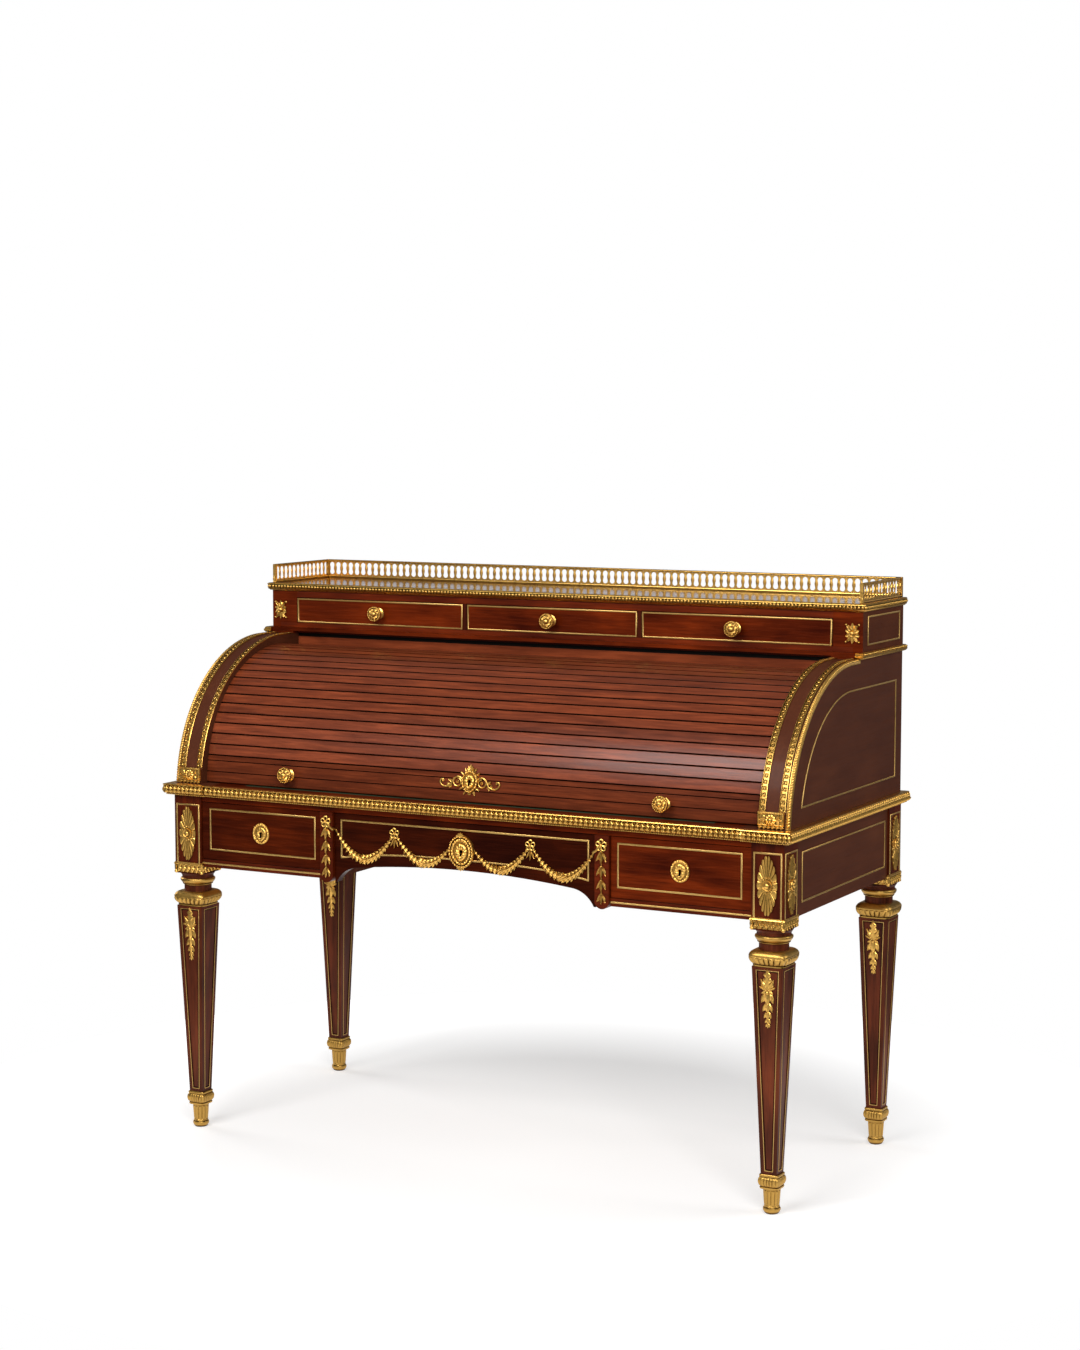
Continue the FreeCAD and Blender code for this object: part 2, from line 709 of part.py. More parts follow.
def garland(half, face):
    """Four swags, two bows and the keyhole medallion of the middle drawer."""
    knot_z = KEY_Z + SWAG_DROP
    mid = MEDALLION_W / 2
    swags = [swag(mid, BOW_X, face, knot_z), swag(BOW_X, half - SWAG_HALF_W, face, knot_z)]
    bow = facing_front(Part.makeCylinder(BOW_R, SWAG_T), BOW_X, face, knot_z)
    medallion = facing_front(oval(MEDALLION_W, MEDALLION_H, MEDALLION_T + SWAG_T), 0, face, KEY_Z)
    medallion = medallion.cut(facing_front(keyhole(MEDALLION_T + SWAG_T), 0, face, KEY_Z))
    side = swags[0].fuse([swags[1], bow])
    return [medallion, side.cut(medallion), mirrored(side).cut(medallion)]


def frieze_drawers():
    """Left, middle and right drawer of the frieze, each with its lock; the runners go with the case."""
    nodes, runners = {}, []
    bottom = FRIEZE_Z + FRONT_RAIL_H + GAP
    top = DUST_Z - GAP
    back = FACE + FRIEZE_DRAWER_DEPTH
    inner = FACE + FRIEZE_FRONT_T
    x0, x1 = STILE_OUT + GAP, POST_IN - GAP
    key_x = (x0 + x1) / 2
    front = box(x0, x1, FACE, inner, bottom, top)
    box_x0, box_x1 = x0 + DRAWER_INSET, x1 - DRAWER_INSET
    sides = drawer_box(
        box_x0, box_x1, inner, back, bottom, top - FRIEZE_SIDE_DROP,
        DRAWER_SIDE_T, DRAWER_BOTTOM_T, FRIEZE_SIDE_DROP,
    )
    lock = lock_case(key_x, FACE, FRIEZE_FRONT_T, KEY_Z, top)
    hole = facing_front(keyhole(FRIEZE_FRONT_T), key_x, inner, KEY_Z)
    rim = ESCUTCHEON_D / 2
    plate = turned([(rim, 0), (rim, 0.4 * ESCUTCHEON_T), (0.8 * rim, ESCUTCHEON_T)])
    plate = facing_front(plate.cut(keyhole(ESCUTCHEON_T)), key_x, FACE, KEY_Z)
    drawer = [front.cut(lock).cut(hole)] + sides
    fittings = [plate, lock]
    nodes["frieze_drawer_right"] = drawer
    nodes["frieze_lock_right"] = fittings
    nodes["frieze_drawer_left"] = [mirrored(s) for s in drawer]
    nodes["frieze_lock_left"] = [mirrored(s) for s in fittings]
    seat = bottom - SEAT
    runner_y0, runner_y1 = FRONT + POST, BACK - POST
    runners += pair(box(box_x1 - DRAWER_SIDE_T, RAIL_IN, runner_y0, runner_y1, seat - RUNNER_H, seat))
    runners += pair(box(PARTITION_OUT, box_x0 + DRAWER_SIDE_T, STILE_BACK, runner_y1, seat - RUNNER_H, seat))

    half = STILE_IN - GAP
    box_half = half - DRAWER_INSET
    center_bottom = FRIEZE_Z + CENTER_BOX_UP
    lock = lock_case(0, FACE, FRIEZE_FRONT_T, KEY_Z, top)
    hole = facing_front(keyhole(FRIEZE_FRONT_T), 0, inner, KEY_Z)
    front = arched_front(half, FACE, FRIEZE_FRONT_T, top).cut(lock).cut(hole)
    nodes["frieze_drawer_center"] = [front] + drawer_box(
        -box_half, box_half, inner, back, center_bottom, top - FRIEZE_SIDE_DROP,
        DRAWER_SIDE_T, DRAWER_BOTTOM_T, FRIEZE_SIDE_DROP,
    )
    nodes["frieze_lock_center"] = garland(half, FACE) + [lock]
    seat = center_bottom - SEAT
    runners += pair(box(box_half - DRAWER_SIDE_T, PARTITION_IN, STILE_BACK, runner_y1, seat - RUNNER_H, seat))
    nodes["drawer_runners"] = runners
    return nodes


def upper_drawers():
    """Three drawers of the upper case, each with its knob."""
    nodes = {}
    bottom, top = FLOOR_TOP + SEAT, UPPER_RAIL_Z - GAP
    inner = UPPER_FRONT + UPPER_FRONT_T
    back = UPPER_BACK_IN - GAP
    face_knob = knob()
    edge = UPPER_DIVIDER_X + UPPER_DIVIDER_T / 2 + GAP
    mid = UPPER_DIVIDER_X - UPPER_DIVIDER_T / 2 - GAP
    for name, x0, x1 in (
        ("left", -UPPER_STILE_IN + GAP, -edge),
        ("center", -mid, mid),
        ("right", edge, UPPER_STILE_IN - GAP),
    ):
        front = box(x0, x1, UPPER_FRONT, inner, bottom, top)
        nodes["upper_drawer_" + name] = [front] + drawer_box(
            x0 + UPPER_BOX_INSET, x1 - UPPER_BOX_INSET, inner, back, bottom, top - UPPER_BOX_INSET,
            UPPER_BOX_SIDE_T, DRAWER_BOTTOM_T, UPPER_BOX_INSET,
        )
        middle = (bottom + top) / 2
        nodes["upper_knob_" + name] = [facing_front(face_knob, (x0 + x1) / 2, UPPER_FRONT, middle)]
    return nodes


# Frieze and table

def frieze():
    """Posts, rails, stiles, partitions and the dust board."""
    side_rail = box(RAIL_IN, RAIL_OUT, FRONT + POST, BACK - POST, FRIEZE_Z, TABLE_UNDER)
    front_rail = box(STILE_OUT, POST_IN, FACE, FACE + RAIL_THICK, FRIEZE_Z, FRIEZE_Z + FRONT_RAIL_H)
    round_z = FRIEZE_Z - STILE_DROP + STILE_WIDTH / 2
    stile = box(STILE_IN, STILE_OUT, STILE_FRONT, STILE_BACK, round_z, DUST_Z)
    bulb = facing_front(Part.makeCylinder(STILE_WIDTH / 2, STILE_DEPTH), STILE_X, STILE_BACK, round_z)
    stile = stile.fuse(bulb).removeSplitter().cut(front_rail)
    partition = box(PARTITION_IN, PARTITION_OUT, STILE_BACK, BACK_RAIL_IN, FRIEZE_Z, DUST_Z)
    leaf_border = border()
    borders = []
    rails = pair(side_rail) + pair(front_rail)
    back_rail = box(-POST_IN, POST_IN, BACK_RAIL_IN, BACK_RAIL_OUT, FRIEZE_Z, TABLE_UNDER)
    for piece in at_legs(leaf_border).values():
        borders.append(piece.cut(rails + [back_rail]))
    return {
        "corner_posts": list(at_legs(post()).values()),
        "post_borders": borders,
        "side_rails": pair(side_rail),
        "back_rail": [back_rail],
        "front_frame": pair(front_rail) + pair(stile),
        "partitions": pair(partition),
        "dust_board": [box(-POST_IN, POST_IN, FACE, BED_BACK, DUST_Z, TABLE_UNDER)],
    }


def table():
    """Table frame, bed board, fixed moulding, and the writing slide with its own moulding and leather."""
    tongue_z0 = TABLE_UNDER + TABLE_THICK / 3
    tongue_z1 = TABLE_Z - TABLE_THICK / 3
    slide_back = FRONT + SLIDE_DEPTH
    groove = box(
        TABLE_END_IN, TONGUE_X + SEAT, FRONT, slide_back + GAP, tongue_z0 - SEAT, tongue_z1 + SEAT
    )
    pocket = arc_bar(
        SLAT_IN_R - GROOVE_CLEAR, ROLL_R + GROOVE_CLEAR, POCKET_ANGLE, TRACK_BACK_ANGLE,
        TABLE_END_IN, SIDE_IN + SLAT_TONGUE + GROOVE_CLEAR,
    )
    end = box(TABLE_END_IN, HALF, FRONT, BACK, TABLE_UNDER, TABLE_Z).cut(groove).cut(pocket)
    rear = box(-TABLE_END_IN, TABLE_END_IN, BACK_RAIL_IN, BACK, TABLE_UNDER, TABLE_Z)
    front, right, left = moulding(HALF, FRONT, BACK, OVERHANG, TABLE_UNDER, TABLE_THICK, TABLE_SECTION)
    corner = front.common(
        box(TONGUE_X + SEAT, HALF + OVERHANG, FRONT - OVERHANG, FRONT, TABLE_UNDER, TABLE_Z)
    )
    reach = OVERHANG - CORNER_BREAK
    slide_z = TABLE_UNDER + SEAT
    section = [(FRONT - s * reach, slide_z + t * (TABLE_Z - slide_z)) for s, t in TABLE_SECTION]
    section = [(FRONT, slide_z)] + section + [(FRONT, TABLE_Z)]
    slide = box(-SLIDE_HALF, SLIDE_HALF, FRONT, slide_back, slide_z, TABLE_Z)
    slide = slide.fuse(box(-TONGUE_X, TONGUE_X, FRONT, slide_back, tongue_z0, tongue_z1)).removeSplitter()
    leather = box(
        LEATHER_MARGIN_X - SLIDE_HALF, SLIDE_HALF - LEATHER_MARGIN_X, FRONT + LEATHER_MARGIN_Y,
        slide_back - LEATHER_MARGIN_Y, TABLE_Z - LEATHER_T, TABLE_Z,
    )
    return {
        "table_frame": pair(end) + [rear],
        "bed_board": [box(-TABLE_END_IN, TABLE_END_IN, slide_back + GAP, BED_BACK, TABLE_UNDER, TABLE_Z)],
        "table_moulding": [right, left] + pair(corner),
        "writing_slide": [slide.cut(leather)],
        "slide_moulding": [slab_x(section, -TONGUE_X, TONGUE_X)],
        "slide_leather": [leather],
    }


# Cylinder sides and roll

def side_outline(x0, x1, back):
    """A quarter-round side between two planes: round at the front, flat on top, straight at the back."""
    rise = TABLE_Z - TABLE_UNDER
    front = V(x0, SIDE_Y - math.sqrt(SIDE_R ** 2 - rise ** 2), TABLE_Z)
    top = V(x0, SIDE_Y, SIDE_TOP)
    slant = math.radians(45)
    middle = V(x0, SIDE_Y - SIDE_R * math.cos(slant), TABLE_UNDER + SIDE_R * math.sin(slant))
    back_top, back_low = V(x0, back, SIDE_TOP), V(x0, back, TABLE_Z)
    edges = [
        Part.Arc(front, middle, top).toShape(), Part.makeLine(top, back_top),
        Part.makeLine(back_top, back_low), Part.makeLine(back_low, front),
    ]
    return Part.Face(Part.Wire(edges)).extrude(V(x1 - x0, 0, 0))


def side_strip(inner, outer, x0, x1, low_z, end_y):
    """A strip that follows the curved edge of a side from a height up to the front of the base board."""
    def at(radius, angle):
        return V(x0, SIDE_Y - radius * math.cos(angle), TABLE_UNDER + radius * math.sin(angle))

    low = math.asin((low_z - TABLE_UNDER) / inner)
    high = math.pi / 2
    middle = (low + high) / 2
    top_in, top_out = at(inner, high), at(outer, high)
    end_in, end_out = V(x0, end_y, top_in.z), V(x0, end_y, top_out.z)
    edges = [
        Part.Arc(at(outer, low), at(outer, middle), top_out).toShape(), Part.makeLine(top_out, end_out),
        Part.makeLine(end_out, end_in), Part.makeLine(end_in, top_in),
        Part.Arc(top_in, at(inner, middle), at(inner, low)).toShape(),
        Part.makeLine(at(inner, low), at(outer, low)),
    ]
    return Part.Face(Part.Wire(edges)).extrude(V(x1 - x0, 0, 0))


def cylinder_sides():
    """Outer panels, grooved cheeks, gilt strips, corner beads, and the rosette block at the foot of each."""
    panel = side_outline(CHEEK_OUT, SIDE_OUT, SIDE_BACK)
    track = arc_bar(
        SLAT_IN_R - GROOVE_CLEAR, ROLL_R + GROOVE_CLEAR, TRACK_FRONT_ANGLE, TRACK_BACK_ANGLE,
        SIDE_IN, SIDE_IN + SLAT_TONGUE + GROOVE_CLEAR,
    )
    cheek = side_outline(SIDE_IN, CHEEK_OUT, BACK_PANEL_IN).cut(track)
    base_front = UPPER_FRONT - UPPER_BASE_FRONT
    rosette_top = TABLE_Z + FOOT_ROSETTE_LIFT + FOOT_ROSETTE_H
    strips = []
    band_out = SIDE_OUT - BEAD_WIDTH
    for x0 in (SIDE_IN, band_out - STRIP_WIDTH):
        strips.append(side_strip(SIDE_R, SIDE_R + STRIP_T, x0, x0 + STRIP_WIDTH, rosette_top, base_front))
    bead = side_strip(
        SIDE_R - BEAD_WIDTH, SIDE_R + BEAD_T, band_out, SIDE_OUT + BEAD_T, TABLE_Z, base_front
    )
    strips.append(bead.cut(panel))
    low_y = SIDE_Y - SIDE_R
    rosette_back = SIDE_Y - math.sqrt(SIDE_R ** 2 - (rosette_top - TABLE_UNDER) ** 2)
    block = box(
        SIDE_IN, band_out, low_y - FOOT_ROSETTE_T, rosette_back, TABLE_Z + FOOT_ROSETTE_LIFT, rosette_top
    ).cut([panel, cheek])
    flower = boss(FOOT_ROSETTE_D, -FOOT_ROSETTE_T / 2, FOOT_ROSETTE_T / 2)
    middle = rosette_top - FOOT_ROSETTE_H / 2
    block = block.fuse(facing_front(flower, (SIDE_IN + band_out) / 2, low_y - FOOT_ROSETTE_T, middle))
    return {
        "side_panel_right": [panel],
        "side_panel_left": [mirrored(panel)],
        "cheeks": pair(cheek),
        "curve_strips": [s for strip in strips for s in pair(strip)],
        "corner_rosettes": pair(block),
    }


def roll():
    """Slats, canvas, bottom rail, knobs and keyhole mount, all turning about the roll's axis."""
    tongue = SIDE_IN + SLAT_TONGUE
    step = (ROLL_END - ROLL_RAIL_END) / SLAT_COUNT
    line = math.degrees(SLAT_LINE / ROLL_R)
    slats = []
    for n in range(SLAT_COUNT):
        low = ROLL_RAIL_END + n * step
        slats.append(arc_bar(SLAT_IN_R, ROLL_R, low + line, low + step, -tongue, tongue, SLAT_ROUND))
    rail_in = ROLL_R - ROLL_RAIL_T
    clear = SIDE_IN - GAP
    rail = arc_bar(rail_in, ROLL_R, ROLL_START, ROLL_RAIL_END, -clear, clear, SLAT_ROUND)
    rail = rail.fuse(arc_bar(SLAT_IN_R, ROLL_R, ROLL_START, ROLL_RAIL_END, -tongue, tongue, SLAT_ROUND))
    rail = rail.removeSplitter()
    canvas_half = TABLE_END_IN - CANVAS_MARGIN
    canvas = arc_bar(CANVAS_IN_R, SLAT_IN_R, ROLL_RAIL_END, ROLL_END, -canvas_half, canvas_half)
    key = on_arc(rail_in, ROLL_KNOB_ANGLE)
    lock = box(
        -LOCK_W / 2, LOCK_W / 2, key.y - LOCK_T, key.y + GAP, key.z - ROLL_LOCK_H / 2, key.z + ROLL_LOCK_H / 2
    )
    mount = keyhole_mount().cut([rail] + slats[:2])
    pull = facing_out(knob(), ROLL_KNOB_X, ROLL_R - SLAT_LINE, ROLL_KNOB_ANGLE).cut(rail)
    scribes = [
        arc_bar(ROLL_R - SLAT_ROUND, ROLL_R + SLAT_ROUND, angle - line, angle + line, -clear, clear)
        for angle in RAIL_LINE_ANGLES
    ]
    rail = rail.cut([lock] + scribes)
    return {
        "roll_slats": slats,
        "roll_canvas": [canvas],
        "roll_rail": [rail],
        "roll_knobs": pair(pull),
        "roll_lock": [mount, lock],
    }


def keyhole_mount():
    """Gilt keyhole mount of the roll: oval shield, palmette crest, two scrolls and curled tendrils."""
    thick = MOUNT_SINK + ESCUTCHEON_T
    arm = 0.35 * SCROLL_R
    shield = oval(SHIELD_W, SHIELD_H, thick + SHIELD_PROUD)
    crest = rayed_oval(1.6 * SCROLL_R, 1.4 * SCROLL_R, CREST_RAYS, thick)
    parts = [moved(crest, 0, SHIELD_H / 2 + 0.3 * SCROLL_R)]
    for sign in (-1, 1):
        x = sign * (SHIELD_W / 2 + 0.6 * SCROLL_R)
        ring = Part.makeCylinder(SCROLL_R, thick).cut(Part.makeCylinder(SCROLL_R - arm, thick))
        parts.append(moved(ring, x, -0.3 * SCROLL_R))
        curl_x = sign * (SHIELD_W / 2 + 2.5 * SCROLL_R)
        curl = Part.makeCylinder(TENDRIL_R, thick).cut(Part.makeCylinder(TENDRIL_R - arm / 2, thick))
        parts.append(moved(curl, curl_x, -0.9 * SCROLL_R))
        low = -0.9 * SCROLL_R - TENDRIL_R
        stem = sorted((x, curl_x))
        parts.append(box(stem[0], stem[1], low, low + arm, 0, thick))
    body = shield.fuse(parts).cut(keyhole(thick + SHIELD_PROUD)).removeSplitter()
    return facing_out(body, 0, ROLL_R - MOUNT_SINK, MOUNT_ANGLE)


# Upper case

def upper_case():
    """Base, ends, stiles, dividers, floor, rail, back panels, top board, mouldings and the roll's header."""
    base_front = UPPER_FRONT - UPPER_BASE_FRONT
    base_half = UPPER_HALF + UPPER_BASE_PROUD
    _, waist_right, waist_left = moulding(
        base_half, base_front, SIDE_BACK, WAIST_REACH, SIDE_TOP, UPPER_BASE_H, WAIST_SECTION
    )
    behind = box(0, base_half + WAIST_REACH, base_front, SIDE_BACK, SIDE_TOP, BASE_TOP)
    end = box(UPPER_END_IN, UPPER_HALF, UPPER_FRONT, SIDE_BACK, BASE_TOP, TOP_UNDER)
    rail_back = UPPER_FRONT + UPPER_STILE_DEPTH
    stile = box(UPPER_STILE_IN, UPPER_END_IN, UPPER_FRONT, rail_back, FLOOR_TOP, TOP_UNDER)
    div_x0 = UPPER_DIVIDER_X - UPPER_DIVIDER_T / 2
    div_x1 = UPPER_DIVIDER_X + UPPER_DIVIDER_T / 2
    divider = box(div_x0, div_x1, UPPER_FRONT, UPPER_BACK_IN, FLOOR_TOP, TOP_UNDER)
    rail = box(-UPPER_STILE_IN, UPPER_STILE_IN, UPPER_FRONT, rail_back, UPPER_RAIL_Z, TOP_UNDER)
    header_y = UPPER_FRONT + HEADER_BACK
    drop = math.sqrt((ROLL_R + HEADER_CLEAR) ** 2 - (header_y - ROLL_Y) ** 2)
    front, right, left = moulding(
        UPPER_HALF, UPPER_FRONT, SIDE_BACK, TOP_REACH, TOP_UNDER, TOP_BOARD_H, TOP_SECTION
    )
    floor = box(-UPPER_END_IN, UPPER_END_IN, UPPER_FRONT, UPPER_BACK_IN, BASE_TOP, FLOOR_TOP)
    base = box(-base_half, base_half, base_front, SIDE_BACK, SIDE_TOP, BASE_TOP)
    rebate = box(-SIDE_IN, SIDE_IN, base_front, header_y, SIDE_TOP, SIDE_TOP + UPPER_BASE_REBATE)
    return {
        "upper_base": [base.cut(rebate)],
        "waist_mouldings": [waist_right.common(behind), waist_left.common(mirrored(behind))],
        "upper_ends": pair(end) + pair(stile),
        "upper_dividers": [d.cut(rail) for d in pair(divider)],
        "upper_rails": [rail, floor],
        "back_panels": [
            box(-CHEEK_OUT, CHEEK_OUT, BACK_PANEL_IN, SIDE_BACK, TABLE_Z, SIDE_TOP),
            box(-UPPER_END_IN, UPPER_END_IN, UPPER_BACK_IN, SIDE_BACK, BASE_TOP, TOP_UNDER),
        ],
        "roll_header": [box(-SIDE_IN, SIDE_IN, header_y, header_y + HEADER_T, TABLE_Z + drop, SIDE_TOP)],
        "top_board": [box(-UPPER_HALF, UPPER_HALF, UPPER_FRONT, SIDE_BACK, TOP_UNDER, TOP_Z)],
        "top_moulding": [front, right, left],
    }


def gallery_hole(middle, plane):
    """One opening of the gallery between two balusters: a dumbbell, as a wire of points on a strip."""
    low = TOP_Z + GALLERY_FOOT_RAIL
    high = TOP_Z + GALLERY_H - GALLERY_TOP_RAIL
    half = [(GALLERY_HOLE_END, 0.0), (GALLERY_HOLE_BULGE, 0.16), (GALLERY_HOLE_WAIST, 0.5)]
    shape = half + [(reach, 1.0 - share) for reach, share in reversed(half[:-1])]
    right = [(middle + reach, low + share * (high - low)) for reach, share in shape]
    left = [(2 * middle - s, z) for s, z in reversed(right)]
    points = [plane(s, z) for s, z in right + left]
    return Part.makePolygon(points + points[:1])


def gallery_strip(start, end, plane, across):
    """A pierced strip along one side, from the start to the end of its length."""
    count = int((end - start - GALLERY_PITCH / 2) // GALLERY_PITCH)
    first = (start + end - (count - 1) * GALLERY_PITCH) / 2
    rim = TOP_Z + GALLERY_H
    edge = [plane(start, TOP_Z), plane(end, TOP_Z), plane(end, rim), plane(start, rim)]
    holes = [gallery_hole(first + n * GALLERY_PITCH, plane) for n in range(count)]
    sheet = Part.Face(Part.makePolygon(edge + edge[:1]))
    return sheet.cut(Part.makeCompound([Part.Face(w) for w in holes])).extrude(across)


def gallery():
    """Pierced gallery on the back and the two sides of the top board."""
    side_x = UPPER_HALF - GALLERY_INSET
    back_y = SIDE_BACK - GALLERY_INSET
    back = gallery_strip(-side_x, side_x, lambda s, z: V(s, back_y, z), V(0, -GALLERY_T, 0))
    side = gallery_strip(
        UPPER_FRONT, back_y - GALLERY_T, lambda s, z: V(side_x, s, z), V(-GALLERY_T, 0, 0)
    )
    return {"gallery_back": back.Solids, "gallery_sides": pair(side.Solids[0])}


# Nest of pigeonholes

def nest():
    """Pigeonholes over three small drawers, on the bed behind the slide and inside the sweep of the roll."""
    half = SIDE_IN - NEST_SIDE_CLEAR
    y0 = FRONT + NEST_SETBACK
    y1 = y0 + NEST_DEPTH
    reach = max(abs(y0 - ROLL_Y), abs(y1 - ROLL_Y))
    top = TABLE_Z + math.sqrt((CANVAS_IN_R - NEST_CLEAR) ** 2 - reach ** 2)
    inner = y1 - NEST_BACK_T
    drawer_z0 = TABLE_Z + NEST_BOARD
    drawer_z1 = drawer_z0 + NEST_DRAWER_H
    hole_z0 = drawer_z1 + NEST_BOARD
    hole_z1 = top - NEST_BOARD
    wide = half - NEST_BOARD
    boards = [
        box(-half, half, y0, y1, TABLE_Z, drawer_z0),
        box(-wide, wide, y0, inner, drawer_z1, hole_z0),
        box(-half, half, y0, y1, hole_z1, top),
        box(-wide, wide, inner, y1, drawer_z0, hole_z1),
    ]
    boards += pair(box(wide, half, y0, y1, drawer_z0, hole_z1))

    def uprights(count, z0, z1):
        step = 2 * wide / count
        for n in range(1, count):
            x = -wide + n * step
            boards.append(box(x - NEST_BOARD / 2, x + NEST_BOARD / 2, y0, inner, z0, z1))

    uprights(NEST_DRAWERS, drawer_z0, drawer_z1)
    uprights(NEST_HOLES, hole_z0, hole_z1)
    nodes = {"nest_case": boards}
    step = 2 * wide / NEST_DRAWERS
    small_knob = turned([
        (0.6 * NEST_KNOB_R, 0), (0.4 * NEST_KNOB_R, 0.4 * NEST_KNOB_OUT), (NEST_KNOB_R, 0.65 * NEST_KNOB_OUT),
        (0.6 * NEST_KNOB_R, NEST_KNOB_OUT),
    ])
    for n, name in enumerate(("left", "center", "right")):
        x0 = -wide + n * step + NEST_BOARD / 2 + GAP / 2
        x1 = -wide + (n + 1) * step - NEST_BOARD / 2 - GAP / 2
        z0, z1 = drawer_z0 + SEAT, drawer_z1 - GAP
        face = y0 + GAP
        front = box(x0, x1, face, face + NEST_BOARD, z0, z1)
        pieces = [front] + drawer_box(
            x0, x1, face + NEST_BOARD, inner - GAP, z0, z1 - GAP, NEST_SIDE_T, NEST_BOTTOM_T, GAP
        )
        pieces.append(facing_front(small_knob, (x0 + x1) / 2, face, (z0 + z1) / 2))
        nodes["nest_drawer_" + name] = pieces
    return nodes


# Mounts on the posts, legs, stiles and upper corners

def upper_rosettes():
    """Rosette mounts on the corner stiles of the upper case."""
    x = UPPER_HALF - UPPER_ROSETTE_IN
    z = (FLOOR_TOP + UPPER_RAIL_Z) / 2
    plate = patera(UPPER_ROSETTE_W, UPPER_ROSETTE_H, UPPER_ROSETTE_RAYS, PATERA_T)
    return pair(facing_front(plate, x, UPPER_FRONT, z))


def mounts(corner_leg):
    """Oval pateras of the posts and husk drops of the legs and stiles."""
    plate = patera(PATERA_W, PATERA_H, PATERA_RAYS, PATERA_T)
    middle = POST_Z + BORDER_H + PATERA_LIFT + PATERA_H / 2
    front = facing_front(plate, 0, FRONT, middle)
    side = plate.copy()
    side.rotate(V(0, 0, 0), V(1, 0, 0), 90)
    side.rotate(V(0, 0, 0), V(0, 0, 1), 90)
    pateras = [moved(front, x, 0) for x in (-LEG_X, LEG_X)]
    for y in (LEG_FRONT_Y, LEG_BACK_Y):
        pateras += pair(moved(side, HALF, y, middle))
    drop = husk_drop(STILE_DROP_W, STILE_DROP_LENGTH, STILE_DROP_T)
    drop = facing_front(drop, STILE_X, STILE_FRONT, DUST_Z - STILE_DROP_TOP)
    husks = at_legs(leg_husk(corner_leg))
    return {
        "post_pateras": pateras,
        "stile_drops": pair(drop),
        "leg_husks": list(husks.values()),
    }


def build():
    """All the pieces of the desk, keyed by name."""
    nodes = {}
    corner_leg = leg()
    for corner, shape in at_legs(corner_leg).items():
        nodes["leg_" + corner] = [shape]
    nodes["sabots"] = list(at_legs(sabot()).values())
    nodes["leg_rings"] = list(at_legs(cushion()).values()) + list(at_legs(neck_ring()).values())
    sections = [
        frieze(), frieze_drawers(), table(), cylinder_sides(), roll(), upper_case(), upper_drawers(),
        gallery(), nest(), mounts(corner_leg),
    ]
    for section in sections:
        nodes.update(section)
    nodes["corner_rosettes"] = nodes["corner_rosettes"] + upper_rosettes()
    return nodes


os.makedirs("parts", exist_ok=True)
for node, solids in build().items():
    Part.makeCompound(solids).exportStep(os.path.join("parts", node + ".step"))
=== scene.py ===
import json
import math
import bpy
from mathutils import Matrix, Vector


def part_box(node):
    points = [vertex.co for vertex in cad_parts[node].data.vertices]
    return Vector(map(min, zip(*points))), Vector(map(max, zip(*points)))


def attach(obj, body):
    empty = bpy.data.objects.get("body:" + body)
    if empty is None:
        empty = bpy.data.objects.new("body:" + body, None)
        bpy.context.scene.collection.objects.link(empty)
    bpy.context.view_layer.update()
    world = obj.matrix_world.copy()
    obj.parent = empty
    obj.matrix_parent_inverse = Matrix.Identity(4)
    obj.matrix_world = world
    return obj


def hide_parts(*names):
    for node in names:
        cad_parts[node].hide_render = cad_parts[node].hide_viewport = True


bl_info = {
    "name": "Cylinder Desk Dressing",
    "version": (1, 0, 0),
    "blender": (4, 5, 0),
    "location": "View3D > Sidebar > Desk",
    "description": "Polished woods, gilt mounts, brass lines and stage of a cylinder desk",
    "category": "Object",
}

import bmesh
import bpy
import numpy as np
from mathutils import Matrix, Vector

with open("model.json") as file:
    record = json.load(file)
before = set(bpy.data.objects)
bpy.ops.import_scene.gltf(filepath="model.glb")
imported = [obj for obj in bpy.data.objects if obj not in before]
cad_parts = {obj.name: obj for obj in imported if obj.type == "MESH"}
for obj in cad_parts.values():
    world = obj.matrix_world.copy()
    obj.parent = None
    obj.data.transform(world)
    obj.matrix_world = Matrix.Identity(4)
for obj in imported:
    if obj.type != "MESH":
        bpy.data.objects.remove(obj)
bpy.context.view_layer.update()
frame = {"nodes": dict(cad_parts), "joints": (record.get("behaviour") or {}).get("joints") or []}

# Shapes are worked out in millimetres and turned to metres when a mesh is made
MM = 0.001
TINY = 1e-6
UP, DOWN = (0, 0, 1), (0, 0, -1)
FORWARD, BACKWARD, RIGHT, LEFT = (0, -1, 0), (0, 1, 0), (1, 0, 0), (-1, 0, 0)


def span(node):
    """Lowest and highest corner of a CAD node, in millimetres."""
    low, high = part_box(node)
    return np.array(low) / MM, np.array(high) / MM


# Planes and levels of the desk, read from the frame
(_, FRONT, POST_Z), (HALF, BACK, TABLE_UNDER) = span("corner_posts")
TABLE_Z = span("table_frame")[1][2]
LEG_NODES = ("leg_front_left", "leg_front_right", "leg_back_left", "leg_back_right")
LEG_AXES = [(sum(span(n)) / 2)[:2] for n in LEG_NODES]
LEG_X = max(x for x, _ in LEG_AXES)
POST_SIDE = 2 * (HALF - LEG_X)
LEG_LOW = span(LEG_NODES[0])[0][2]
LEG_TOP, RING_TOP = span("leg_rings")[0][2], span("leg_rings")[1][2]
SABOT_TOP = span("sabots")[1][2]
FACE = span("frieze_drawer_right")[0][1]
STILE_FRONT = span("front_frame")[0][1]
SIDE_TOP = span("side_panel_right")[1][2]
SIDE_OUT = span("side_panel_right")[1][0]
SIDE_IN = span("roll_header")[1][0]
SIDE_R = SIDE_TOP - TABLE_UNDER
SIDE_Y = span("side_panel_right")[0][1] + math.sqrt(SIDE_R ** 2 - (TABLE_Z - TABLE_UNDER) ** 2)
BASE_FRONT = span("upper_base")[0][1]
UPPER_FRONT = span("upper_ends")[0][1]
UPPER_HALF = span("upper_ends")[1][0]
